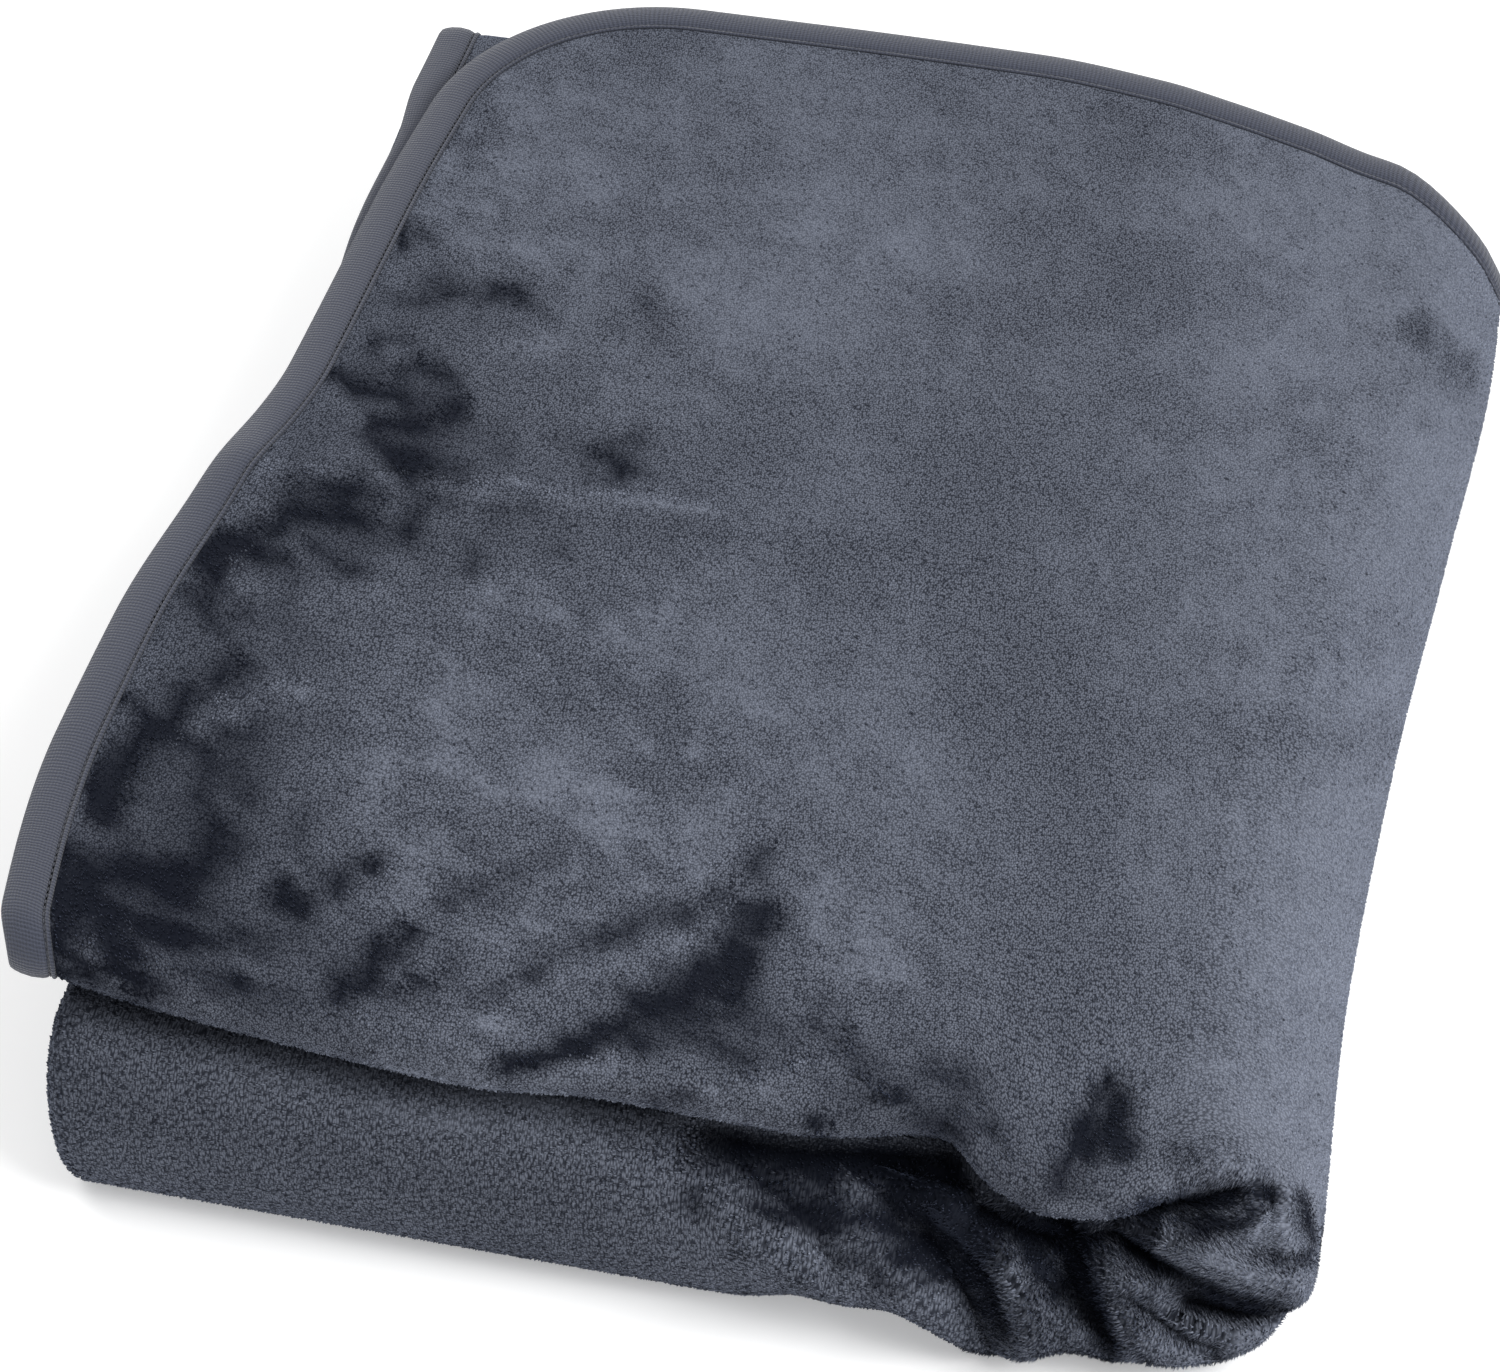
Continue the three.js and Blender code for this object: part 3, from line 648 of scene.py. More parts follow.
    def path(self, u: np.ndarray, v: np.ndarray) -> np.ndarray:
        """Where spots of the flat sheet lie before the bundle settles.

        Args:
            u: places across the flat sheet's width.
            v: places along the flat sheet's length.

        Returns:
            Points, with x, y and z last.
        """
        starts = self.sheet.across
        t = [(u - a) / (b - a) for a, b in zip(starts, starts[1:])]
        top = self.section(v, self.top)
        bottom = self.section(v, self.bottom)
        flap = self.section(v, self.flap)
        far_left = self.right - (starts[3] - starts[2])
        turns = [
            self._turn(top, bottom, self.right, self.right_radius, t[1]),
            self._turn(bottom, flap, far_left, -self.left_radius, t[3]),
        ]
        xs = [
            mix(self.left, self.right, t[0]),
            turns[0][0],
            mix(self.right, far_left, t[2]),
            turns[1][0],
            far_left + (u - starts[4]),
        ]
        ys = [top[0], turns[0][1], bottom[0], turns[1][1], flap[0]]
        zs = [top[1], turns[0][2], bottom[1], turns[1][2], flap[1]]
        leg = np.clip(np.searchsorted(starts, u, side="left") - 1, 0, 4)
        return np.stack([np.choose(leg, part) for part in (xs, ys, zs)], axis=-1)

    @staticmethod
    def _turn(
        start: tuple[np.ndarray, np.ndarray],
        end: tuple[np.ndarray, np.ndarray],
        x: float,
        most: float,
        t: np.ndarray,
    ) -> tuple[np.ndarray, np.ndarray, np.ndarray]:
        """A half turn from one strip to the next.

        Args:
            start: the y and the z of the strip that it leaves.
            end: the y and the z of the strip that it reaches.
            x: where the turn starts and ends across the bundle.
            most: its largest radius, less than 0 for a turn to the left.
            t: how far round the spots lie, from 0 to 1.

        Returns:
            The x, the y and the z of the spots.
        """
        angle = np.pi * np.clip(t, 0.0, 1.0)
        swing = (1.0 - np.cos(angle)) / 2.0
        half_gap = np.hypot(end[0] - start[0], end[1] - start[1]) / 2.0
        radius = math.copysign(1.0, most) * np.minimum(abs(most), half_gap)
        out = x + radius * np.sin(angle)
        return out, mix(start[0], end[0], swing), mix(start[1], end[1], swing)

    def settle(self, points: np.ndarray) -> np.ndarray:
        """The uneven lie of the whole bundle. Each step moves points along one axis only.

        Args:
            points: points of the evenly folded sheet, with x, y and z last.

        Returns:
            The settled points, with the middle of the bundle over the origin.
        """
        x, y, z = points[..., 0], points[..., 1], points[..., 2]
        low, high = self.top_heights
        upper = smooth(low, high, z)
        hanging = smooth(mix(low, self.lip_height, self.lip_side.share(x)), high, z)
        face = (1.0 - upper) * self.front_face.share(y)
        lip = self.front.share(y) * hanging * self.lip_line.at(x)
        new_y = y + lip - face * strongest(self.gathers, x, z)
        new_y = new_y - self.back_draw.at(x) * self.back_side.share(new_y)
        under = self.top_underside.share(z)
        swing = self.left_swing.at(new_y) + under * self.under_swing.at(new_y)
        left = upper * self.left_side.share(x)
        new_x = x - left * swing + self.right_side.share(x) * self.right_swing.at(new_y)
        low, high = self.settled_heights
        lower = np.clip((z - low) / (high - low), 0.0, 1.0)
        sag = self.front_sag.at(x) * self.front_slack.share(new_y)
        drop = sag + self.sink.at(x) * self.back_slope.share(new_y)
        new_z = z - lower * drop + upper * self.crease.push(new_x, new_y)
        return np.stack([new_x - self.middle[0], new_y - self.middle[1], new_z], axis=-1)

    def place(self, u: np.ndarray, v: np.ndarray) -> np.ndarray:
        """Where the middle of the sheet lies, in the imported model's frame.

        Args:
            u: places across the flat sheet's width.
            v: places along the flat sheet's length.

        Returns:
            Points, with x, y and z last.
        """
        points = self.settle(self.path(u, v))
        right, up = self.slant.spots(points)
        lower = self.lower_across.share(u) * self.lower_along.share(v)
        upper = self.upper_across.share(u) * self.upper_along.share(v)
        height = lower * strongest(LOWER_FOLDS, right, up)
        return self.slant.pull(points, height + upper * strongest(UPPER_FOLDS, right, up))

    def spans(self, u: np.ndarray, v: np.ndarray, step: float) -> tuple[np.ndarray, np.ndarray]:
        """The ways from a step before spots to a step after them, across and along the sheet."""
        across = self.place(u + step, v) - self.place(u - step, v)
        return across, self.place(u, v + step) - self.place(u, v - step)

    def normal(self, u: np.ndarray, v: np.ndarray, step: float = 0.4) -> np.ndarray:
        """The way that the blanket's outer face points at some spots.

        Args:
            u: places across the flat sheet's width.
            v: places along the flat sheet's length.
            step: how far to either side the sheet is looked at.

        Returns:
            Ways of length 1, with x, y and z last.
        """
        across, along = self.spans(u, v, step)
        normal = np.cross(along, across)
        return normal / np.linalg.norm(normal, axis=-1, keepdims=True)


def add_object(name: str, data: bpy.types.ID) -> bpy.types.Object:
    """Adds an object of some data to the scene, at the origin.

    Args:
        name: the object's name.
        data: its mesh, camera or light.

    Returns:
        The new object.
    """
    made = bpy.data.objects.new(name, data)
    bpy.context.scene.collection.objects.link(made)
    return made


@dataclass
class MeshParts:
    """Points, faces, flat places and painted values of a mesh that is being put together."""

    points: list[np.ndarray] = field(default_factory=list)
    flat: list[np.ndarray] = field(default_factory=list)
    faces: list[np.ndarray] = field(default_factory=list)
    count: int = 0

    def add(self, points: np.ndarray, flat: np.ndarray) -> np.ndarray:
        """Adds points.

        Args:
            points: the points in millimetres, with x, y and z last.
            flat: their places on the flat sheet.

        Returns:
            The points' numbers in the mesh.
        """
        shape = points.shape[:-1]
        amount = int(np.prod(shape))
        self.points.append(points.reshape(-1, 3))
        self.flat.append(flat.reshape(-1, 2))
        numbers = np.arange(self.count, self.count + amount).reshape(shape)
        self.count += amount
        return numbers

    def quads(self, a: np.ndarray, b: np.ndarray, c: np.ndarray, d: np.ndarray) -> None:
        """Adds four-sided faces from arrays of their corners' numbers."""
        self.faces.append(np.stack([a, b, c, d], axis=-1).reshape(-1, 4))

    def rings(self, rings: Sequence[np.ndarray]) -> None:
        """Joins closed rings of points one after another."""
        for ring, after in zip(rings, rings[1:]):
            self.quads(ring, np.roll(ring, -1), np.roll(after, -1), after)

    def build(self, name: str, painted: dict[str, np.ndarray] | None = None) -> bpy.types.Object:
        """Makes the object.

        Args:
            name: name of the piece.
            painted: values for each point, by the name of their attribute.

        Returns:
            The new object, smooth shaded, with its flat places in metres as a UV map.
        """
        mesh = bpy.data.meshes.new(name)
        points = np.concatenate(self.points) * MM
        faces = np.concatenate(self.faces)
        mesh.from_pydata(points.tolist(), [], faces.tolist())
        flat = np.concatenate(self.flat) * MM
        layer = mesh.uv_layers.new(name="flat")
        corners = np.empty(len(mesh.loops), np.int32)
        mesh.loops.foreach_get("vertex_index", corners)
        layer.data.foreach_set("uv", flat[corners].astype(np.float32).ravel())
        for key, values in (painted or {}).items():
            attribute = mesh.attributes.new(key, "FLOAT", "POINT")
            attribute.data.foreach_set("value", values.astype(np.float32).ravel())
        mesh.polygons.foreach_set("use_smooth", np.ones(len(mesh.polygons), bool))
        mesh.update()
        return add_object(name, mesh)


@dataclass(frozen=True)
class FoldedGrid:
    """Stations of a fine grid on the flat sheet, inside its thin rim."""

    sheet: FlatSheet
    ease: float = 300.0

    def columns(self, steps: Sequence[tuple[float, float, int]]) -> np.ndarray:
        """Places across or along the sheet from rows of (start, end, number of steps)."""
        runs = [np.linspace(start, end, count, endpoint=False) for start, end, count in steps]
        return np.concatenate([*runs, [steps[-1][1]]])

    def corner_rows(self, count: int) -> np.ndarray:
        """Rows of a rounded corner, close together where it curves in most."""
        radius = self.sheet.corner_radius - self.sheet.ramp_width
        return radius * (1.0 - np.cos(np.linspace(0.0, np.pi / 2.0, count, endpoint=False)))

    def spread(self, base: np.ndarray, v: np.ndarray) -> np.ndarray:
        """Draws columns in where the corners are rounded.

        Args:
            base: places of the columns across the sheet, away from the corners.
            v: places of the rows along the sheet.

        Returns:
            The columns' places at those rows.
        """
        ramp = self.sheet.ramp_width
        radius = self.sheet.corner_radius - ramp
        inner = np.minimum(v, self.sheet.length - v) - ramp
        short = np.clip(radius - inner, 0.0, radius)
        inset = radius - np.sqrt(radius**2 - short**2)
        from_start = base - ramp
        from_end = self.sheet.width - ramp - base
        return (
            base
            + inset * np.clip(1.0 - from_start / self.ease, 0.0, None)
            - inset * np.clip(1.0 - from_end / self.ease, 0.0, None)
        )


@dataclass(frozen=True)
class Edge:
    """Stations along the sheet's rim: where they lie, and which way is out of the sheet."""

    u: np.ndarray
    v: np.ndarray
    out_u: np.ndarray
    out_v: np.ndarray

    def spots(self, distance: float, ramp: float) -> tuple[np.ndarray, np.ndarray]:
        """Flat places at a distance in from the sheet's edge.

        Args:
            distance: the distance in from the edge.
            ramp: how far in from the edge the stations themselves lie.

        Returns:
            The places across and along the sheet.
        """
        reach = ramp - distance
        return self.u + self.out_u * reach, self.v + self.out_v * reach


@dataclass
class BlanketCloth:
    """The plush cloth, as one thin closed sheet on the bundle's folds."""

    bundle: Bundle
    pile_depth: float = 1.4
    bend_margin: float = 98.0
    roll_margin: float = 130.0
    front_margin: float = 90.0
    under_margin: float = 50.0
    rim_distances: tuple[float, ...] = (20.6, 19.4, 18.4, 17.6, 0.0)
    grain_stretch: float = 1.5
    name: str = "plush_cloth"

    def stations(self) -> tuple[np.ndarray, np.ndarray]:
        """Columns and rows of the grid, closest together where the cloth shows and bends.

        Returns:
            Places across the flat sheet, and places along it.
        """
        sheet = self.bundle.sheet
        grid = FoldedGrid(sheet)
        inset = sheet.ramp_width
        across = sheet.across
        along = sheet.along
        corner = sheet.corner_radius
        columns = grid.columns(
            [
                (inset, across[1] - self.bend_margin, 34),
                (across[1] - self.bend_margin, across[1], 20),
                (across[1], across[2], 58),
                (across[2], across[2] + self.roll_margin, 32),
                (across[2] + self.roll_margin, across[3], 24),
                (across[3], across[4], 8),
                (across[4], sheet.width - inset, 6),
            ]
        )
        between = grid.columns(
            [
                (corner, along[1] - self.front_margin, 50),
                (along[1] - self.front_margin, along[1], 18),
                (along[1], along[2], 40),
                (along[2], along[2] + self.under_margin, 8),
                (along[2] + self.under_margin, along[3], 10),
                (along[3], along[4], 8),
                (along[4], sheet.length - corner, 8),
            ]
        )
        first = inset + grid.corner_rows(14)
        last = sheet.length - inset - grid.corner_rows(4)[::-1]
        return columns, np.unique(np.concatenate([first, between, last]).round(6))

    def grid(self) -> tuple[np.ndarray, np.ndarray]:
        """The flat places of the grid's points, a row for each place along the length.

        Returns:
            The places across the sheet, and those along it.
        """
        columns, rows = self.stations()
        v = np.repeat(rows[:, None], len(columns), axis=1)
        return FoldedGrid(self.bundle.sheet).spread(columns[None, :], v), v

    def rim(self, u: np.ndarray, v: np.ndarray) -> tuple[np.ndarray, Edge]:
        """The grid's boundary.

        Args:
            u: places across of the grid's points.
            v: places along of the grid's points.

        Returns:
            The flat numbers of the boundary's points in the grid, and the edge there.
        """
        sheet = self.bundle.sheet
        numbers = np.arange(u.size).reshape(u.shape)
        sides = [numbers[0, :-1], numbers[:-1, -1], numbers[-1, :0:-1], numbers[:0:-1, 0]]
        ring = np.concatenate(sides)
        side_u, side_v = u.ravel()[ring], v.ravel()[ring]
        corner = sheet.corner_radius
        out_u = side_u - np.clip(side_u, corner, sheet.width - corner)
        out_v = side_v - np.clip(side_v, corner, sheet.length - corner)
        size = np.hypot(out_u, out_v)
        return ring, Edge(side_u, side_v, out_u / size, out_v / size)

    def half_thickness(self, distance: float) -> float:
        """Half the thickness of the cloth under its pile, thin inside the binding.

        Args:
            distance: the distance in from the cloth's edge.

        Returns:
            Half the thickness there.
        """
        sheet = self.bundle.sheet
        full = float(smooth(sheet.thin_until, sheet.full_from, distance))
        return mix(sheet.rim_thickness / 2.0, sheet.thickness / 2.0 - self.pile_depth, full)

    def skin(self, u: np.ndarray, v: np.ndarray, height: np.ndarray | float) -> np.ndarray:
        """Points at a height over the middle of the cloth, on its outer side."""
        return self.bundle.place(u, v) + self.bundle.normal(u, v) * np.asarray(height)[..., None]

    def build(self) -> bpy.types.Object:
        """Makes and dresses the cloth.

        Returns:
            The new object.
        """
        parts = MeshParts()
        u, v = self.grid()
        ramp = self.bundle.sheet.ramp_width
        middle = self.bundle.place(u, v)
        normal = self.bundle.normal(u, v)
        half = self.half_thickness(ramp)
        flat = np.stack([u, v], axis=-1)
        upper = parts.add(middle + normal * half, flat)
        lower = parts.add(middle - normal * half, flat)
        parts.quads(upper[:-1, :-1], upper[1:, :-1], upper[1:, 1:], upper[:-1, 1:])
        parts.quads(lower[:-1, :-1], lower[:-1, 1:], lower[1:, 1:], lower[1:, :-1])
        ring, edge = self.rim(u, v)
        rings = [upper.ravel()[ring]]
        for side, order in ((1.0, self.rim_distances), (-1.0, self.rim_distances[::-1])):
            for distance in order:
                rim_u, rim_v = edge.spots(distance, ramp)
                points = self.skin(rim_u, rim_v, side * self.half_thickness(distance))
                rings.append(parts.add(points, np.stack([rim_u, rim_v], axis=-1)))
        rings.append(lower.ravel()[ring])
        parts.rings(rings)
        # The cloth's points carry the pile's tone, painted light and shade included, as their
        # shade.
        right, up = self.bundle.slant.spots(np.concatenate(parts.points))
        lay = Lay(*np.concatenate(parts.flat).T, right, up)
        piece = parts.build(self.name, {"shade": lay.tone()})
        piece.data.materials.append(PlushFinish(stretch=self.grain_stretch).build())
        return piece


@dataclass
class EdgeBinding:
    """The knitted tape that is folded over the cloth's raw edge all the way round.

    The upper side of its section runs from its inner edge, over the groove of the seam and its
    round back, to its nose: distances in from the cloth's edge, and heights over its middle.
    """

    bundle: Bundle
    width: float = 18.0
    gap: float = 0.3
    seam: float = 15.6
    stitch_height: float = 2.3
    shown_step: float = 5.0
    hidden_step: float = 14.0
    corner_steps: int = 36
    inner_edge: tuple[tuple[float, float], ...] = ((18.0, 2.1), (17.5, 2.8), (16.9, 2.95))
    groove: tuple[tuple[float, float], ...] = ((16.3, 2.7), (15.9, 2.0), (15.3, 2.0), (14.7, 2.9))
    back: tuple[tuple[float, float], ...] = ((13.0, 3.7), (8.5, 4.3), (4.0, 3.9), (1.0, 3.1))
    nose: tuple[tuple[float, float], ...] = ((-0.8, 2.2), (-1.6, 1.1), (-1.8, 0.0))
    name: str = "knit_binding"

    def edge(self) -> Edge:
        """Stations round the whole rim, closer together along the two sides that show.

        Returns:
            The stations.
        """
        sheet = self.bundle.sheet
        ramp, corner = sheet.ramp_width, sheet.corner_radius
        radius = corner - ramp
        width, length = sheet.width - 2.0 * corner, sheet.length - 2.0 * corner
        sides = [
            ((sheet.width - corner, sheet.length - ramp), (-1.0, 0.0), width, self.hidden_step),
            ((ramp, sheet.length - corner), (0.0, -1.0), length, self.shown_step),
            ((corner, ramp), (1.0, 0.0), width, self.shown_step),
            ((sheet.width - ramp, corner), (0.0, 1.0), length, self.hidden_step),
        ]
        found: list[list[np.ndarray]] = [[], [], [], []]
        for (start_u, start_v), (step_u, step_v), reach, step in sides:
            way = np.linspace(0.0, reach, int(reach / step), endpoint=False)
            out_u, out_v = step_v, -step_u
            found[0].append(start_u + step_u * way)
            found[1].append(start_v + step_v * way)
            found[2].append(np.full_like(way, out_u))
            found[3].append(np.full_like(way, out_v))
            turn = np.linspace(0.0, np.pi / 2.0, self.corner_steps, endpoint=False)
            end_u, end_v = start_u + step_u * reach, start_v + step_v * reach
            corner_u = out_u * np.cos(turn) + step_u * np.sin(turn)
            corner_v = out_v * np.cos(turn) + step_v * np.sin(turn)
            found[0].append(end_u - out_u * radius + corner_u * radius)
            found[1].append(end_v - out_v * radius + corner_v * radius)
            found[2].append(corner_u)
            found[3].append(corner_v)
        return Edge(*(np.concatenate(part) for part in found))

    def profile(self) -> list[tuple[float, float]]:
        """The tape's whole section, the same on both sides of the cloth.

        Returns:
            Distances in from the cloth's edge, and heights over its middle.
        """
        inner = self.bundle.sheet.rim_thickness / 2.0 + self.gap
        upper = [*self.inner_edge, *self.groove, *self.back, *self.nose]
        lower = [(distance, -height) for distance, height in upper[-2::-1]]
        inside = [(self.width, -inner), (-self.gap, -inner)]
        return [*upper, *lower, *inside, (-self.gap, inner), (self.width, inner)]

    def build(self) -> bpy.types.Object:
        """Makes and dresses the tape, with the way along it and round it as its flat places.

        Returns:
            The new object.
        """
        parts = MeshParts()
        edge = self.edge()
        ramp = self.bundle.sheet.ramp_width
        steps = np.hypot(np.roll(edge.u, -1) - edge.u, np.roll(edge.v, -1) - edge.v)
        along = np.concatenate([[0.0], np.cumsum(steps)[:-1]])
        rings = []
        around = 0.0
        before = None
        for distance, height in self.profile():
            u, v = edge.spots(distance, ramp)
            points = self.bundle.place(u, v) + self.bundle.normal(u, v) * height
            points[:, 2] = np.maximum(points[:, 2], self.gap)
            if before is not None:
                around += math.hypot(distance - before[0], height - before[1])
            before = (distance, height)
            rings.append(parts.add(points, np.stack([along, np.full_like(along, around)], -1)))
        parts.rings([*rings, rings[0]])
        piece = parts.build(self.name)
        piece.data.materials.append(KnitFinish().build())
        return piece

    def stitches(self) -> list[bpy.types.Object]:
        """Makes the rows of stitches that hold the tape, on the outer and on the inner face.

        Returns:
            The two new objects.
        """
        u, v = self.edge().spots(self.seam, self.bundle.sheet.ramp_width)
        middle, normal = self.bundle.place(u, v), self.bundle.normal(u, v)
        thread = ThreadFinish().build()
        return [
            StitchRow(middle + normal * side * self.stitch_height, name).build(thread)
            for side, name in ((1.0, "stitches_outer"), (-1.0, "stitches_inner"))
        ]


class Value:
    """A socket that adds maths nodes when it is used in an expression."""

    def __init__(self, graph: "NodeGraph", socket: bpy.types.NodeSocket) -> None:
        """Wraps an output socket of a graph."""
        self.graph = graph
        self.socket = socket

    def __add__(self, other: "Value | float") -> "Value":
        """Sum."""
        return self.graph.math("ADD", self, other)

    def __radd__(self, other: float) -> "Value":
        """Sum, with the plain number first."""
        return self.graph.math("ADD", other, self)

    def __sub__(self, other: "Value | float") -> "Value":
        """Difference."""
        return self.graph.math("SUBTRACT", self, other)

    def __rsub__(self, other: float) -> "Value":
        """Difference, with the plain number first."""
        return self.graph.math("SUBTRACT", other, self)

    def __mul__(self, other: "Value | float") -> "Value":
        """Product."""
        return self.graph.math("MULTIPLY", self, other)

    def __rmul__(self, other: float) -> "Value":
        """Product, with the plain number first."""
        return self.graph.math("MULTIPLY", other, self)

    def __truediv__(self, other: "Value | float") -> "Value":
        """Quotient."""
        return self.graph.math("DIVIDE", self, other)

    def sine(self) -> "Value":
        """Sine of the value in radians."""
        return self.graph.math("SINE", self, 0.0)

    def step(self, start: float, end: float) -> "Value":
        """A soft step.

        Args:
            start: the value up to which it is 0.
            end: the value from which it is 1.

        Returns:
            The step.
        """
        settings = {"interpolation_type": "SMOOTHSTEP"}
        inputs = {"Value": self, "From Min": start, "From Max": end}
        return self.graph.value("ShaderNodeMapRange", settings, inputs, "Result")


Input = Value | bpy.types.NodeSocket | float | int | bool | str | Sequence[float] | bpy.types.ID


class NodeGraph:
    """A tree of shader or geometry nodes that is put together in code."""

    def __init__(self, tree: bpy.types.NodeTree) -> None:
        """Starts from a tree, whose nodes are removed."""
        self.tree = tree
        tree.nodes.clear()

    def node(
        self,
        kind: str,
        settings: dict[str, object] | None = None,
        inputs: dict[str | int, Input] | None = None,
    ) -> bpy.types.Node:
        """Adds a node.

        Args:
            kind: the node's type.
            settings: its properties, which are set first.
            inputs: values or links of its sockets, by name or number.

        Returns:
            The new node.
        """
        node = self.tree.nodes.new(kind)
        for key, value in (settings or {}).items():
            setattr(node, key, value)
        for key, value in (inputs or {}).items():
            self.feed(node.inputs[key], value)
        return node

    def feed(self, socket: bpy.types.NodeSocket, value: Input) -> None:
        """Links a value to a socket, or sets it there if it is plain.

        Args:
            socket: the input socket.
            value: what it gets.
        """
        if isinstance(value, Value):
            value = value.socket
        if isinstance(value, bpy.types.NodeSocket):
            self.tree.links.new(value, socket)
        else:
            socket.default_value = value

    def out(self, node: bpy.types.Node, name: str | int = 0) -> Value:
        """An output of a node, ready for expressions."""
        return Value(self, node.outputs[name])

    def value(
        self,
        kind: str,
        settings: dict[str, object] | None = None,
        inputs: dict[str | int, Input] | None = None,
        name: str | int = 0,
    ) -> Value:
        """Adds a node as node() does, and returns its output of a name or number."""
        return self.out(self.node(kind, settings, inputs), name)

    def math(self, operation: str, first: Input, second: Input) -> Value:
        """Adds a Math node."""
        return self.value("ShaderNodeMath", {"operation": operation}, {0: first, 1: second})

    def vector(self, operation: str, first: Input, second: Input) -> Value:
        """Adds a Vector Math node of two vectors."""
        return self.value("ShaderNodeVectorMath", {"operation": operation}, {0: first, 1: second})

    def scaled(self, vector: Input, scale: Input) -> Value:
        """A vector times a number."""
        inputs = {"Vector": vector, "Scale": scale}
        return self.value("ShaderNodeVectorMath", {"operation": "SCALE"}, inputs)

    def blend(self, first: Input, second: Input, share: Input) -> Value:
        """Two colours mixed.

        Args:
            first: the colour at a share of 0.
            second: the colour at a share of 1.
            share: the share of the second one.

        Returns:
            The mixed colour.
        """
        node = self.node("ShaderNodeMix", {"data_type": "RGBA"})
        self.feed(node.inputs["Factor"], share)
        self.feed(node.inputs[6], first)
        self.feed(node.inputs[7], second)
        return self.out(node, 2)


Colour = tuple[float, float, float, float]
WHITE: Colour = (1.0, 1.0, 1.0, 1.0)


def linear(red: int, green: int, blue: int) -> Colour:
    """Turns a colour of a screen into light.

    Args:
        red: its red, from 0 to 255.
        green: its green.
        blue: its blue.

    Returns:
        The colour with its alpha of 1, from 0 to 1 each.
    """
    parts = []
    for part in (red, green, blue):
        share = part / 255.0
        parts.append(share / 12.92 if share <= 0.04045 else ((share + 0.055) / 1.055) ** 2.4)
    return (parts[0], parts[1], parts[2], 1.0)


@dataclass(frozen=True)
class Finish:
    """What every finish of the blanket shares."""

    name: str

    def start(self) -> tuple[bpy.types.Material, NodeGraph]:
        """Starts the finish.

        Returns:
            The new material and its empty tree.
        """
        material = bpy.data.materials.new(self.name)
        material.use_nodes = True
        return material, NodeGraph(material.node_tree)

    def surface(
        self,
        graph: NodeGraph,
        inputs: dict[str | int, Input],
        height: Input = 0.0,
        depth: float = 0.0,
        strength: float = 0.0,
    ) -> None:
        """Ends a tree in a shader, with a bump where the bump has a strength.

        Args:
            graph: the tree.
            inputs: the shader's sockets.
            height: the bump's height, from 0 to 1.
            depth: what a height of 1 is in metres.
            strength: the bump's strength.
        """
        if strength > 0.0:
            bump = {"Strength": strength, "Distance": depth, "Height": height}
            inputs = {**inputs, "Normal": graph.value("ShaderNodeBump", None, bump, "Normal")}
        shader = graph.value("ShaderNodeBsdfPrincipled", None, inputs, "BSDF")
        graph.node("ShaderNodeOutputMaterial", None, {"Surface": shader})


@dataclass(frozen=True)
class PlushFinish(Finish):
    """Short pile whose brightness comes from the mesh, painted light and shade included, broken up
    by fine dark gaps.

    The gaps are less deep where the pile is bright. The tufts darken towards their roots, and the
    ground between them is darker, as painted shade.
    """

    name: str = "plush_ground"
    light: Colour = linear(168, 175, 192)
    dark: Colour = linear(14, 17, 26)
    grain: float = 0.00095
    stretch: float = 3.2
    slant: tuple[float, float] | None = None
    turn: float = math.radians(-8.0)
    # The share of brightness kept at the tufts' roots and on the ground between them: painted
    # shade.
    root: float = 0.75
    disorder: float = 0.8
    gap: tuple[float, float] = (0.02, 0.7)
    depth: float = 0.86
    bright: tuple[float, float] = (0.48, 0.64)
    bright_loss: float = 0.4

    def places(self, graph: NodeGraph) -> Value:
        """Where spots lie on the plane of the grain.

        Args:
            graph: the material's tree.

        Returns:
            Places on the flat blanket, or where the slant is given, on a level plane along it.
        """
        if self.slant is None:
            return graph.value("ShaderNodeUVMap", {"uv_map": "flat"}, None, "UV")
        place = graph.value("ShaderNodeTexCoord", None, None, "Object")
        parts = graph.node("ShaderNodeSeparateXYZ", None, {"Vector": place})
        x, y, height = (graph.out(parts, axis) for axis in "XYZ")
        level = {"X": x + height * self.slant[0], "Y": y + height * self.slant[1]}
        return graph.value("ShaderNodeCombineXYZ", None, level)

    def build(self) -> bpy.types.Material:
        """Makes the material.

        Returns:
            The new material.
        """
        material, graph = self.start()
        turned = graph.value(
            "ShaderNodeMapping",
            {"vector_type": "TEXTURE"},
            {
                "Vector": self.places(graph),
                "Rotation": (0.0, 0.0, self.turn),
                "Scale": (1.0, self.stretch, 1.0),
            },
        )
        distance = graph.value(
            "ShaderNodeTexVoronoi",
            {"voronoi_dimensions": "2D"},
            {"Vector": turned, "Scale": 1.0 / self.grain, "Randomness": self.disorder},
            "Distance",
        )
        shade, tip = (
            graph.value("ShaderNodeAttribute", {"attribute_name": name}, None, "Fac")
            for name in ("shade", "tip")
        )
        depth = self.depth - shade.step(*self.bright) * self.bright_loss
        gaps = distance.step(*self.gap) * depth
        # Painted shade at the tufts' roots and on the ground between the tufts.
        tone = shade * (self.root + tip * (1.0 - self.root)) * (1.0 - gaps)
        self.surface(
            graph,
            {
                "Base Color": graph.blend(self.dark, self.light, tone),
                "Roughness": 0.85,
                "Sheen Weight": 0.12,
                "Sheen Roughness": 0.4,
                "Sheen Tint": (0.55, 0.66, 1.0, 1.0),
                "Specular IOR Level": 0.05,
            },
        )
        return material


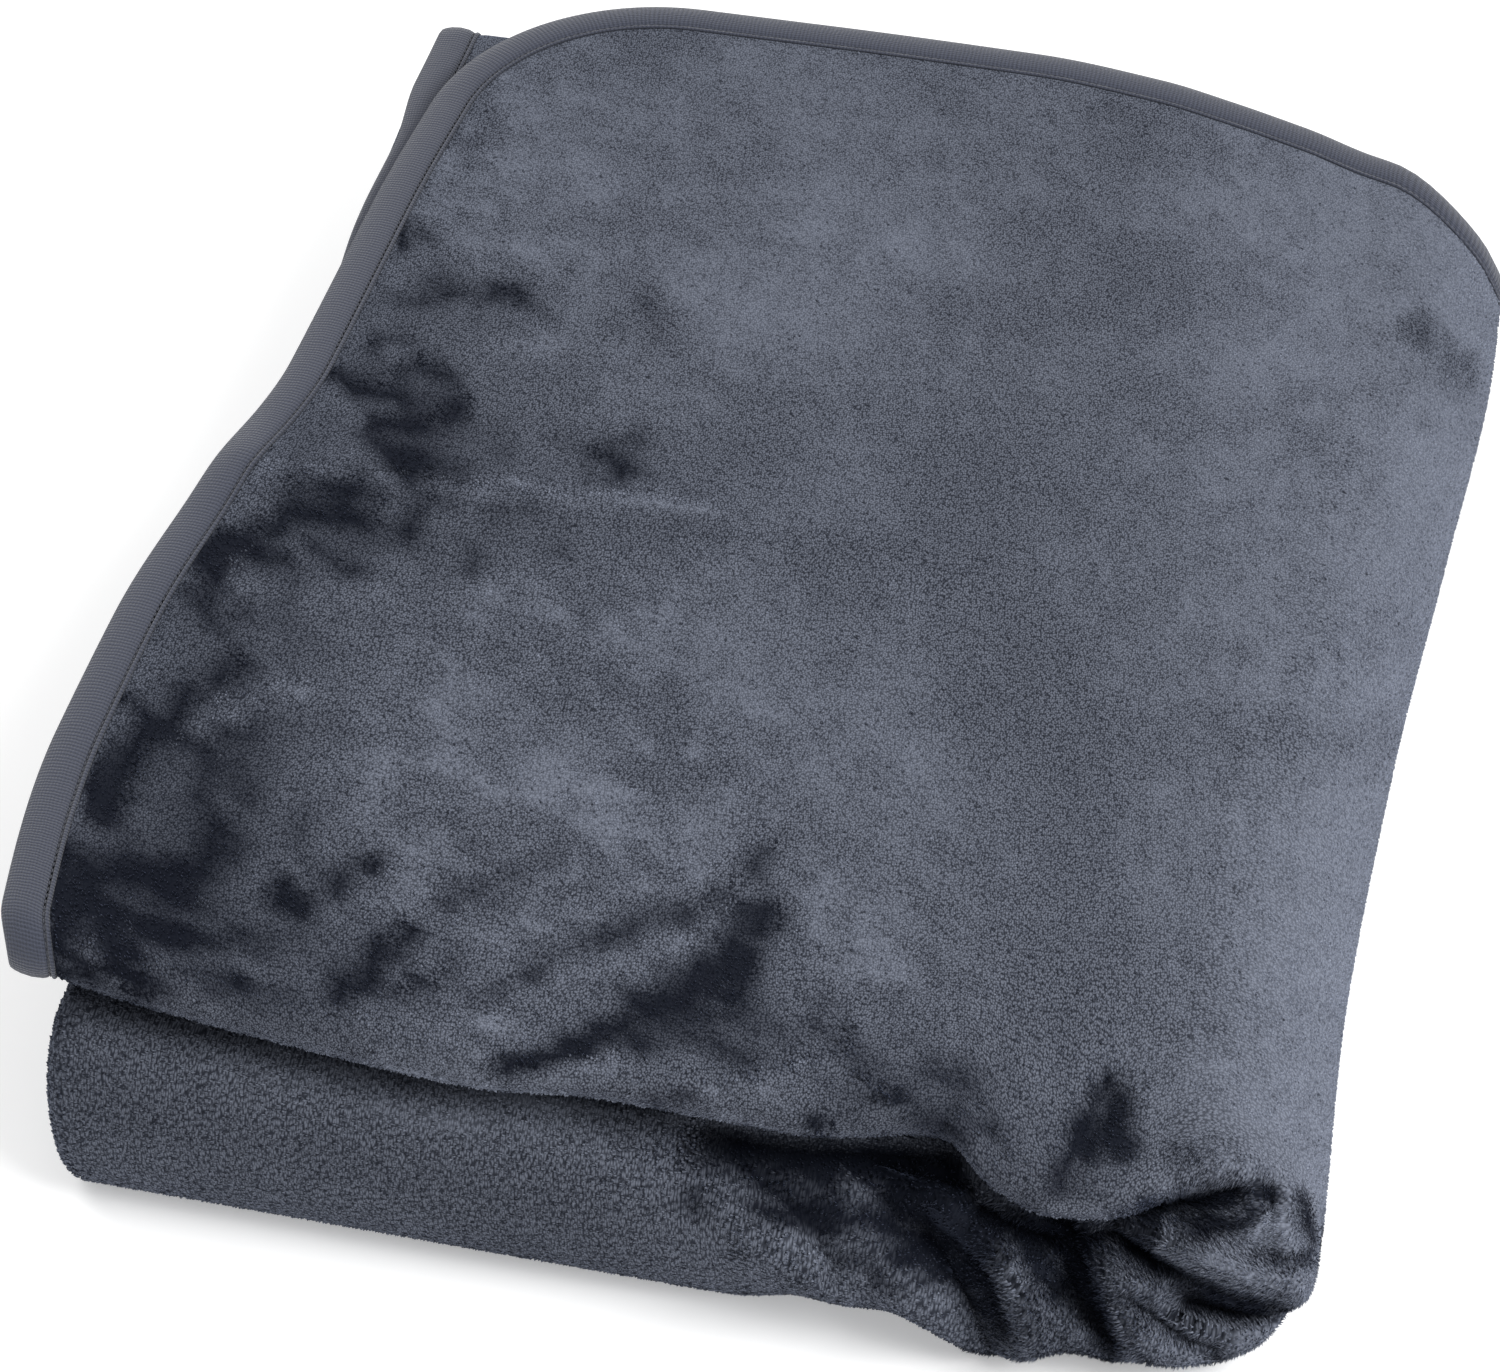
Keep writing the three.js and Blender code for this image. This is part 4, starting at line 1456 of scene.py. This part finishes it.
@dataclass(frozen=True)
class KnitFinish(Finish):
    """Fine knitted tape with ribs across it, and with painted shade in the groove of its seam.

    The ribs and courses waver by the drift. The groove and the soft end, where painted shade
    darkens the tape's inner edge, are measured round the tape's section, from its inner edge on the
    outer face.
    """

    name: str = "knit_tape"
    light: Colour = linear(76, 80, 94)
    dark: Colour = linear(38, 41, 51)
    rib: float = 0.0019
    course: float = 0.0013
    groove: float = 0.0032
    groove_half: tuple[float, float] = (0.0003, 0.0011)
    soft_end: float = 0.0009
    drift: float = 0.0022
    drift_scale: float = 90.0
    fuzz_scale: float = 1600.0
    relief: float = 0.0007

    def build(self) -> bpy.types.Material:
        """Makes the material.

        Returns:
            The new material.
        """
        material, graph = self.start()
        flat = graph.value("ShaderNodeUVMap", {"uv_map": "flat"}, None, "UV")
        noise = {"Vector": flat, "Scale": self.drift_scale, "Detail": 2.0}
        drift = graph.value("ShaderNodeTexNoise", None, noise, "Color")
        shift = graph.vector("SUBTRACT", drift, (0.5, 0.5, 0.5))
        warped = graph.vector("ADD", flat, graph.scaled(shift, self.drift))
        parts = graph.node("ShaderNodeSeparateXYZ", None, {"Vector": warped})
        ribs = (graph.out(parts, "X") * (math.tau / self.rib)).sine() * 0.5 + 0.5
        courses = (graph.out(parts, "Y") * (math.tau / self.course)).sine() * 0.5 + 0.5
        noise = {"Vector": flat, "Scale": self.fuzz_scale, "Detail": 3.0}
        fuzz = graph.value("ShaderNodeTexNoise", None, noise)
        height = ribs * 0.45 + courses * 0.25 + fuzz * 0.6
        around = graph.value("ShaderNodeSeparateXYZ", None, {"Vector": flat}, "Y")
        # Painted shade in the seam's groove and at the tape's inner edge, where it meets the pile.
        groove = graph.math("ABSOLUTE", around - self.groove, 0.0).step(*self.groove_half)
        edge = around.step(0.0, self.soft_end)
        tone = (ribs * 0.3 + courses * 0.15 + fuzz * 0.8).step(0.1, 1.0) * groove * edge
        self.surface(
            graph,
            {
                "Base Color": graph.blend(self.dark, self.light, tone),
                "Roughness": 0.85,
                "Sheen Weight": 0.3,
                "Sheen Roughness": 0.5,
                "Specular IOR Level": 0.2,
            },
            height,
            self.relief,
            strength=0.7,
        )
        return material


@dataclass(frozen=True)
class ThreadFinish(Finish):
    """Polyester sewing thread."""

    name: str = "sewing_thread"
    colour: Colour = linear(62, 65, 76)
    twist_scale: float = 2500.0
    relief: float = 0.0002

    def build(self) -> bpy.types.Material:
        """Makes the material.

        Returns:
            The new material.
        """
        material, graph = self.start()
        place = graph.value("ShaderNodeTexCoord", None, None, "Object")
        noise = {"Vector": place, "Scale": self.twist_scale}
        twist = graph.value("ShaderNodeTexNoise", None, noise)
        inputs = {"Base Color": self.colour, "Roughness": 0.6, "Sheen Weight": 0.2}
        self.surface(graph, inputs, twist, self.relief, strength=0.5)
        return material


@dataclass(frozen=True)
class GroundFinish(Finish):
    """The plain pale floor."""

    name: str = "pale_floor"
    colour: Colour = (0.9, 0.9, 0.9, 1.0)
    glow: float = 0.3

    def build(self) -> bpy.types.Material:
        """Makes the material.

        Returns:
            The new material.
        """
        material, graph = self.start()
        inputs = {"Base Color": self.colour, "Roughness": 0.9, "Emission Color": WHITE}
        self.surface(graph, {**inputs, "Emission Strength": self.glow})
        return material


class Recipe:
    """A geometry node group that is put together in code and run once on a guide mesh."""

    def __init__(self, name: str, sizes: dict[str, float], material: bpy.types.Material) -> None:
        """Starts a group.

        Args:
            name: name of the piece that it makes.
            sizes: its named inputs, in metres or plain numbers.
            material: the finish of what it makes.
        """
        self.name = name
        self.tree = bpy.data.node_groups.new(name + "_tree", "GeometryNodeTree")
        face = self.tree.interface
        face.new_socket("Geometry", in_out="INPUT", socket_type="NodeSocketGeometry")
        self.values: dict[str, object] = {}
        for key, value in sizes.items():
            socket = face.new_socket(key, in_out="INPUT", socket_type="NodeSocketFloat")
            self.values[socket.identifier] = value
        socket = face.new_socket("Finish", in_out="INPUT", socket_type="NodeSocketMaterial")
        self.values[socket.identifier] = material
        face.new_socket("Geometry", in_out="OUTPUT", socket_type="NodeSocketGeometry")
        self.graph = NodeGraph(self.tree)
        self.given = self.graph.node("NodeGroupInput")

    def size(self, name: str) -> Value:
        """One of the named inputs."""
        return self.graph.out(self.given, name)

    def carried(self, name: str, kind: str) -> Value:
        """A value that each point of the guide carries."""
        node = "GeometryNodeInputNamedAttribute"
        return self.graph.value(node, {"data_type": kind}, {"Name": name}, "Attribute")

    def instances(self, points: Value, shape: Value, way: Value, scale: Input) -> Value:
        """Puts a shape on points.

        Args:
            points: the points.
            shape: what stands on each of them, along its z.
            way: which way it points there.
            scale: how large it is there.

        Returns:
            The instances.
        """
        graph = self.graph
        align = "FunctionNodeAlignRotationToVector"
        inputs = {"Points": points, "Instance": shape, "Scale": scale}
        inputs["Rotation"] = graph.value(align, {"axis": "Z"}, {"Vector": way})
        return graph.value("GeometryNodeInstanceOnPoints", None, inputs)

    def end(self, instances: Value) -> None:
        """Ends the group: the instances become one plain mesh with its finish.

        Args:
            instances: what the group has made.
        """
        graph = self.graph
        real = graph.value("GeometryNodeRealizeInstances", None, {"Geometry": instances})
        shaded = graph.value("GeometryNodeSetShadeSmooth", None, {"Geometry": real})
        finish = {"Geometry": shaded, "Material": self.size("Finish")}
        dressed = graph.value("GeometryNodeSetMaterial", None, finish)
        graph.node("NodeGroupOutput", None, {"Geometry": dressed})

    def run(self, guide: bpy.types.Object) -> bpy.types.Object:
        """Runs the group on a guide, which is then removed.

        Args:
            guide: the object whose mesh the group gets.

        Returns:
            The new plain piece.
        """
        modifier = guide.modifiers.new("recipe", "NODES")
        modifier.node_group = self.tree
        for identifier, value in self.values.items():
            modifier[identifier] = value
        depsgraph = bpy.context.evaluated_depsgraph_get()
        mesh = bpy.data.meshes.new_from_object(guide.evaluated_get(depsgraph))
        mesh.name = self.name
        bpy.data.objects.remove(guide)
        return add_object(self.name, mesh)


def guide_mesh(
    name: str, points: np.ndarray, edges: np.ndarray, values: dict[str, np.ndarray]
) -> bpy.types.Object:
    """A mesh of points and edges that carries values for a recipe.

    Args:
        name: name of the object.
        points: points in metres.
        edges: pairs of points.
        values: numbers or vectors for each point, by the name of their attribute.

    Returns:
        The new object.
    """
    mesh = bpy.data.meshes.new(name)
    mesh.vertices.add(len(points))
    mesh.vertices.foreach_set("co", points.astype(np.float32).ravel())
    if len(edges):
        mesh.edges.add(len(edges))
        mesh.edges.foreach_set("vertices", edges.astype(np.int32).ravel())
    for key, value in values.items():
        kind, slot = ("FLOAT", "value") if value.ndim == 1 else ("FLOAT_VECTOR", "vector")
        attribute = mesh.attributes.new(key, kind, "POINT")
        attribute.data.foreach_set(slot, value.astype(np.float32).ravel())
    return add_object(name, mesh)


@dataclass
class StitchRow:
    """The row of stitches that holds the tape, made along a line by geometry nodes."""

    line: np.ndarray
    name: str
    pitch: float = 3.4
    length: float = 2.5
    radius: float = 0.35

    def build(self, material: bpy.types.Material) -> bpy.types.Object:
        """Makes the stitches as one plain mesh.

        Args:
            material: the thread's finish.

        Returns:
            The new object.
        """
        sizes = {"Pitch": self.pitch, "Length": self.length, "Radius": self.radius}
        recipe = Recipe(self.name, {key: size * MM for key, size in sizes.items()}, material)
        graph = recipe.graph
        length, radius = recipe.size("Length"), recipe.size("Radius")
        curve = graph.value("GeometryNodeMeshToCurve", None, {"Mesh": recipe.size("Geometry")})
        spacing = {"Curve": curve, "Length": recipe.size("Pitch")}
        spaced = graph.value("GeometryNodeResampleCurve", {"mode": "LENGTH"}, spacing)
        sphere = {"Segments": 4, "Rings": 3, "Radius": radius}
        ball = graph.value("GeometryNodeMeshUVSphere", None, sphere)
        stretch = {"X": 1.0, "Y": 1.0, "Z": length / (radius * 2.0)}
        scale = graph.value("ShaderNodeCombineXYZ", None, stretch)
        stitch = graph.value("GeometryNodeTransform", None, {"Geometry": ball, "Scale": scale})
        way = graph.value("GeometryNodeInputTangent")
        recipe.end(recipe.instances(spaced, stitch, way, (1.0, 1.0, 1.0)))
        numbers = np.arange(len(self.line))
        edges = np.stack([numbers, np.roll(numbers, -1)], axis=-1)
        return recipe.run(guide_mesh(self.name + "_guide", self.line * MM, edges, {}))


@dataclass(frozen=True)
class Cloud:
    """Smooth random values over a plane, with finer and finer detail in each layer."""

    size: float
    seed: int
    layers: int = 4
    fade: float = 0.55
    contrast: float = 1.7
    cells: int = 64

    def layer(self, x: np.ndarray, y: np.ndarray, number: int) -> np.ndarray:
        """One layer of the values.

        Args:
            x: places along the plane's first axis.
            y: places along its second axis.
            number: the layer, whose spots are half as large as those of the one before.

        Returns:
            The values, from 0 to 1.
        """
        cells = self.cells
        grid = np.random.default_rng(self.seed + number).random((cells, cells))
        size = self.size * 0.5**number
        column, row = x / size, y / size
        left, low = np.floor(column).astype(int), np.floor(row).astype(int)
        across, along = smooth(0.0, 1.0, column - left), smooth(0.0, 1.0, row - low)
        near, far = (
            mix(grid[line % cells, left % cells], grid[line % cells, (left + 1) % cells], across)
            for line in (low, low + 1)
        )
        return mix(near, far, along)

    def at(self, x: np.ndarray, y: np.ndarray) -> np.ndarray:
        """The values of all the layers together.

        Args:
            x: places along the plane's first axis.
            y: places along its second axis.

        Returns:
            The values, from 0 to 1.
        """
        total = np.zeros(np.shape(x))
        weight = 0.0
        for number in range(self.layers):
            share = self.fade**number
            total = total + share * self.layer(x, y, number)
            weight += share
        return np.clip((total / weight - 0.5) * self.contrast + 0.5, 0.0, 1.0)


@dataclass
class Lay:
    """How the pile lies over some spots: its way, and how bright it looks, with painted light and
    shade.

    The spots have their places on the flat sheet, across and along, and on the slanted plane, to
    the right and up. The drifts move the painted shade of flat pile and the painted light and shade
    a little, so that their edges waver.
    """

    u: np.ndarray
    v: np.ndarray
    right: np.ndarray
    up: np.ndarray
    drifts: tuple[Cloud, Cloud] = (Cloud(12.0, 11), Cloud(12.0, 31))
    drift: float = 5.0
    feather: Cloud = Cloud(6.0, 51, 3)
    # Cloudy patches of painted shade where the pile is rough.
    haze: Cloud = Cloud(34.0, 61)
    swirl: Cloud = Cloud(60.0, 71, 2)
    clumps: Cloud = Cloud(5.0, 91, 2)
    streaks: Cloud = Cloud(60.0, 101, 3)
    top_across: Zone = Zone(fall=(520.0, 560.0))
    top_along: Zone = Zone(fall=(730.0, 750.0))
    roll_across: Zone = Zone((560.0, 570.0), (990.0, 1010.0))
    hollow_across: Zone = Zone(rise=(440.0, 470.0))
    hollow_along: Zone = Zone(rise=(672.0, 695.0))
    # Where the pile is rough, its mottling and its haze of painted shade are stronger.
    rough_top: Zone = Zone(rise=(-110.0, 60.0))
    rough_front: Zone = Zone(fall=(-130.0, -60.0))
    rough_left: Zone = Zone(fall=(60.0, 150.0))
    rough_roll: Zone = Zone(rise=(0.0, 30.0))
    # Painted highlight on the right side and on the bend, and painted shade on the roll.
    right_glow: Zone = Zone(rise=(130.0, 200.0))
    roll_shade: Zone = Zone(rise=(560.0, 568.0))
    bend_glow: Zone = Zone((450.0, 490.0), (556.0, 568.0))
    roll_start: float = 568.0
    base: float = 0.52

    def __post_init__(self) -> None:
        """Works out the painted shade where the pile lies flat, the painted light and shade, the
        painted shade in the hollows, and where the pile is rough.
        """
        right, up = self.right, self.up
        drifts = [self.drift * (cloud.at(right, up) - 0.5) for cloud in self.drifts]
        spots = right + drifts[0], up + drifts[1]
        roll = self.roll_across.share(self.u)
        shown = np.maximum(self.top_across.share(self.u) * self.top_along.share(self.v), roll)
        # Where the pile lies flat; its darkness there is painted shade.
        flat_pile_shade_mask = strongest(FLAT_PILE_PAINTED_SHADE, *spots) * shown
        # Painted light and shade of the pile, summed from its table.
        self.soft = shown * sum(shade.push(*spots) for shade in PAINTED_LIGHT_AND_SHADE)
        feather = self.feather.at(right, up)
        rough = mix(1.0, 0.2, self.rough_top.share(right + 0.35 * up))
        front = self.rough_front.share(up) * self.rough_left.share(right)
        rough = np.maximum(rough, 0.8 * front)
        on_roll = self.u > self.roll_across.rise[0]
        self.rough = np.where(on_roll, 0.2 + 0.7 * self.rough_roll.share(right), rough)
        # A cloudy haze of painted shade where the pile is rough, and painted shade where the pile
        # lies flat, with feathered edges.
        haze = smooth(0.45, 0.95, self.haze.at(right, up)) * self.rough * 0.35
        haze = haze * smooth(0.2, 0.8, feather)
        flat_pile_shade = smooth(0.06, 0.8, flat_pile_shade_mask * (0.6 + 0.7 * feather))
        self.flat_pile_shade = np.clip(flat_pile_shade + haze * shown, 0.0, 1.0)
        # Painted shade in the hollows of the folds below the top panel.
        low = self.hollow_across.share(self.u) * self.hollow_along.share(self.v)
        self.hollow_shade = low * smooth(2.0, 16.0, -strongest(LOWER_FOLDS, right, up))

    def angle(self) -> np.ndarray:
        """The way that the pile lies, as an angle on the flat sheet, in radians."""
        swirl = self.swirl.at(self.right, self.up) - 0.5
        return np.where(self.u > self.roll_start, 0.3, 1.35) + swirl * 1.3

    def tone(self) -> np.ndarray:
        """How bright the pile looks: its tone with random mottling, times the painted light and
        shade, the painted highlights on the right side and the bend, the painted shade on the roll,
        and the painted shade where the pile lies flat and in the hollows.

        Returns:
            The brightness, from 0 to 1.
        """
        right, up = self.right, self.up
        # Painted highlight on the right side and the bend, painted shade on the roll.
        glow = 1.0 + 0.12 * self.right_glow.share(right) - 0.1 * self.roll_shade.share(self.u)
        glow = glow + 0.12 * self.bend_glow.share(self.u)
        clumps = self.clumps.at(right, up) - 0.5
        streaks = self.streaks.at(right + 0.4 * up, 2.5 * up) - 0.5
        mottled = 1.0 + clumps * (0.06 + 0.22 * self.rough) + streaks * 0.12
        # Painted shade where the pile lies flat and in the hollows.
        dim = (1.0 - 0.95 * self.flat_pile_shade) * (1.0 - 0.7 * self.hollow_shade)
        return np.clip(self.base * (1.0 + self.soft) * glow * mottled * dim, 0.0, 1.0)


@dataclass
class Pile:
    """Tufts of short pile over a stretch of the cloth's outer side, made by geometry nodes."""

    bundle: Bundle
    name: str
    across: tuple[float, float]
    along: tuple[float, float]
    seed: int
    pitch: float = 1.7
    width: float = 1.05
    length: float = 1.3
    lean: float = 28.0
    grows: tuple[float, float] = (0.0, 1.0)
    most_stretch: float = 2.2
    root_height: float = 1.7
    sway: float = 0.35
    lean_spread: float = 7.0
    sizes: tuple[float, float] = (0.8, 1.2)

    def roots(self, random: np.random.Generator) -> tuple[np.ndarray, np.ndarray]:
        """Spreads the tufts evenly over the folded surface.

        Args:
            random: where the random values come from.

        Returns:
            The tufts' places across and along the flat sheet.
        """
        sheet = self.bundle.sheet
        step = self.pitch / math.sqrt(self.most_stretch)
        u, v = np.meshgrid(np.arange(*self.across, step), np.arange(*self.along, step))
        u = (u + random.uniform(-0.5, 0.5, u.shape) * step).ravel()
        v = (v + random.uniform(-0.5, 0.5, v.shape) * step).ravel()
        ramp, corner = sheet.rim_width + 0.4, sheet.corner_radius
        away_u = u - np.clip(u, corner, sheet.width - corner)
        away_v = v - np.clip(v, corner, sheet.length - corner)
        keep = np.hypot(away_u, away_v) < corner - ramp
        u, v = u[keep], v[keep]
        area = np.linalg.norm(np.cross(*self.bundle.spans(u, v, 0.5)), axis=-1)
        keep = random.random(len(u)) < area / self.most_stretch
        return u[keep], v[keep]

    def guide(self) -> bpy.types.Object:
        """Makes a point for each tuft, with its way, its size and its shade, which carries the
        painted light and shade.

        Returns:
            The new object.
        """
        random = np.random.default_rng(self.seed)
        u, v = self.roots(random)
        bundle = self.bundle
        place = bundle.place(u, v)
        normal = bundle.normal(u, v)
        along_u = bundle.place(u + 0.5, v) - bundle.place(u - 0.5, v)
        along_v = np.cross(along_u, normal)
        along_u /= np.linalg.norm(along_u, axis=-1, keepdims=True)
        along_v /= np.linalg.norm(along_v, axis=-1, keepdims=True)
        lay = Lay(u, v, *bundle.slant.spots(place))
        angle = lay.angle() + random.normal(0.0, self.sway, len(u))
        lean = np.radians(self.lean + random.normal(0.0, self.lean_spread, len(u)))
        flat = along_u * np.cos(angle)[:, None] + along_v * np.sin(angle)[:, None]
        way = normal * np.cos(lean)[:, None] + flat * np.sin(lean)[:, None]
        points = (place + normal * self.root_height) * MM
        grown = mix(0.5, 1.0, smooth(*self.grows, v))
        size = random.uniform(*self.sizes, len(u)) * grown
        spread = 0.05 + 0.08 * lay.rough
        # The tufts' shade carries the painted light and shade of the pile.
        shade = lay.tone() * (1.0 + random.normal(0.0, 1.0, len(u)) * spread)
        values = {"way": way, "size": size, "shade": shade}
        return guide_mesh(self.name + "_guide", points, np.empty(0), values)

    def build(self, material: bpy.types.Material) -> bpy.types.Object:
        """Makes the tufts as one plain mesh.

        Args:
            material: the pile's finish.

        Returns:
            The new object.
        """
        guide = self.guide()
        recipe = Recipe(self.name, {"Width": self.width * MM, "Length": self.length * MM}, material)
        graph = recipe.graph
        length = recipe.size("Length")
        shape = {"Vertices": 3, "Side Segments": 1, "Radius Top": 0.0}
        shape |= {"Radius Bottom": recipe.size("Width"), "Depth": length}
        cone = graph.value("GeometryNodeMeshCone", {"fill_type": "NGON"}, shape, "Mesh")
        place = graph.value("GeometryNodeInputPosition")
        height = graph.value("ShaderNodeSeparateXYZ", None, {"Vector": place}, "Z")
        tuft = graph.value(
            "GeometryNodeStoreNamedAttribute",
            {"data_type": "FLOAT", "domain": "POINT"},
            {"Geometry": cone, "Name": "tip", "Value": height / length},
        )
        way, size = recipe.carried("way", "FLOAT_VECTOR"), recipe.carried("size", "FLOAT")
        recipe.end(recipe.instances(recipe.size("Geometry"), tuft, way, size))
        return recipe.run(guide)


@dataclass
class PileCover:
    """The pile of all the faces that show, in pieces side by side.

    The pieces meet at the cuts of the top panel, at the start of the bend, at the start of the lips
    and at the end of the front, all of them places on the flat sheet.
    """

    bundle: Bundle
    edge: float = 19.0
    top_cuts: tuple[float, float] = (165.0, 305.0)
    bend_start: float = 448.0
    bend_end: float = 568.0
    front_end: float = 640.0
    roll_end: float = 1024.0
    lips_start: float = 668.0
    roll_start: float = 655.0
    lips_full: float = 700.0
    top_reach: float = 745.0
    front_reach: float = 760.0
    tuft_slant: tuple[float, float] = (-0.8, 0.97)
    roll_slant: tuple[float, float] = (0.0, 1.0)
    roll_turn: float = math.radians(82.0)

    def build(self) -> list[bpy.types.Object]:
        """Makes and dresses the pieces.

        Returns:
            The new objects.
        """
        bundle = self.bundle
        tufts = PlushFinish("plush_tufts", slant=self.tuft_slant).build()
        rolled = PlushFinish("plush_roll", slant=self.roll_slant, turn=self.roll_turn).build()
        cuts = (self.edge, *self.top_cuts, self.bend_start)
        along = (self.edge, self.top_reach)
        names = ("pile_left", "pile_middle", "pile_right")
        pieces = [
            Pile(bundle, name, stretch, along, seed).build(tufts)
            for seed, (name, stretch) in enumerate(zip(names, zip(cuts, cuts[1:])), 1)
        ]
        bend = (self.bend_start, self.bend_end), (self.edge, self.lips_start)
        pieces.append(Pile(bundle, "pile_bend", *bend, 4).build(tufts))
        front = (self.bend_start, self.front_end), (self.lips_start, self.front_reach)
        long_pile = {"pitch": 1.05, "width": 0.5, "length": 2.8, "lean": 48.0}
        grows = (self.lips_start, self.lips_full)
        lips = Pile(bundle, "pile_front", *front, 5, grows=grows, **long_pile)
        pieces.append(lips.build(tufts))
        roll = (self.front_end, self.roll_end), (self.roll_start, self.front_reach)
        pieces.append(Pile(bundle, "pile_roll", *roll, 6).build(rolled))
        return pieces


@dataclass
class Studio:
    """Camera, floor and soft light of the picture."""

    slant: Slant
    lens: float = 100.8
    sensor: float = 36.0
    floor_half: float = 6.0
    glow: float = 0.5

    def place(self, name: str, data: bpy.types.ID, place: Vector) -> bpy.types.Object:
        """Puts a camera or a light at a place, turned to the middle of the picture.

        Args:
            name: the object's name.
            data: the camera or the light.
            place: where it stands.

        Returns:
            The new object.
        """
        made = add_object(name, data)
        made.location = place
        made.rotation_mode = "QUATERNION"
        target = Vector(self.slant.target) * MM
        made.rotation_quaternion = (target - place).to_track_quat("-Z", "Y")
        return made

    def add_camera(self) -> None:
        """Adds the camera at the point that the folds' forms are pulled towards."""
        data = bpy.data.cameras.new("camera")
        data.lens = self.lens
        data.sensor_width = self.sensor
        point = Vector(self.slant.point().tolist()) * MM
        bpy.context.scene.camera = self.place("camera", data, point)

    def add_floor(self) -> None:
        """Adds the plain pale floor."""
        mesh = bpy.data.meshes.new("floor")
        half = self.floor_half
        corners = [(-half, -half, 0.0), (half, -half, 0.0), (half, half, 0.0), (-half, half, 0.0)]
        mesh.from_pydata(corners, [], [(0, 1, 2, 3)])
        mesh.materials.append(GroundFinish().build())
        add_object("floor", mesh)

    def add_light(self, name: str, place: Sequence[float], size: float, power: float) -> None:
        """Adds a soft square light that points at the bundle.

        Args:
            name: the light's name.
            place: where it stands, in metres.
            size: the length of its side in metres.
            power: its power in watts.
        """
        data = bpy.data.lights.new(name, "AREA")
        data.shape = "SQUARE"
        data.size = size
        data.energy = power
        self.place(name, data, Vector(place))

    def build(self) -> None:
        """Adds everything."""
        self.add_camera()
        self.add_floor()
        self.add_light("key", (1.5, -0.8, 1.8), 1.2, 48.0)
        self.add_light("fill", (-1.3, 0.7, 1.9), 1.6, 22.0)
        world = bpy.data.worlds.new("studio")
        world.use_nodes = True
        background = world.node_tree.nodes["Background"]
        background.inputs["Color"].default_value = WHITE
        background.inputs["Strength"].default_value = self.glow
        bpy.context.scene.world = world
        bpy.context.scene.view_settings.view_transform = "Standard"


def main() -> None:
    logging.basicConfig(level=logging.INFO, format="%(name)s: %(message)s")
    bundle = Bundle()
    Studio(bundle.slant).build()
    cloth = BlanketCloth(bundle).build()
    tape = EdgeBinding(bundle)
    binding = tape.build()
    stitches = tape.stitches()
    piles = PileCover(bundle).build()
    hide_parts("blanket_cloth")
    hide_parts("edge_binding")
    for piece in (cloth, binding, *stitches, *piles):
        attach(piece, "root")
        triangles = sum(len(face.vertices) - 2 for face in piece.data.polygons)
        LOG.info("%s: %d triangles", piece.name, triangles)
    sheet = bundle.sheet
    sheet.width * MM
    sheet.length * MM
    sheet.area * MM * MM


if __name__ == "__main__":
    main()
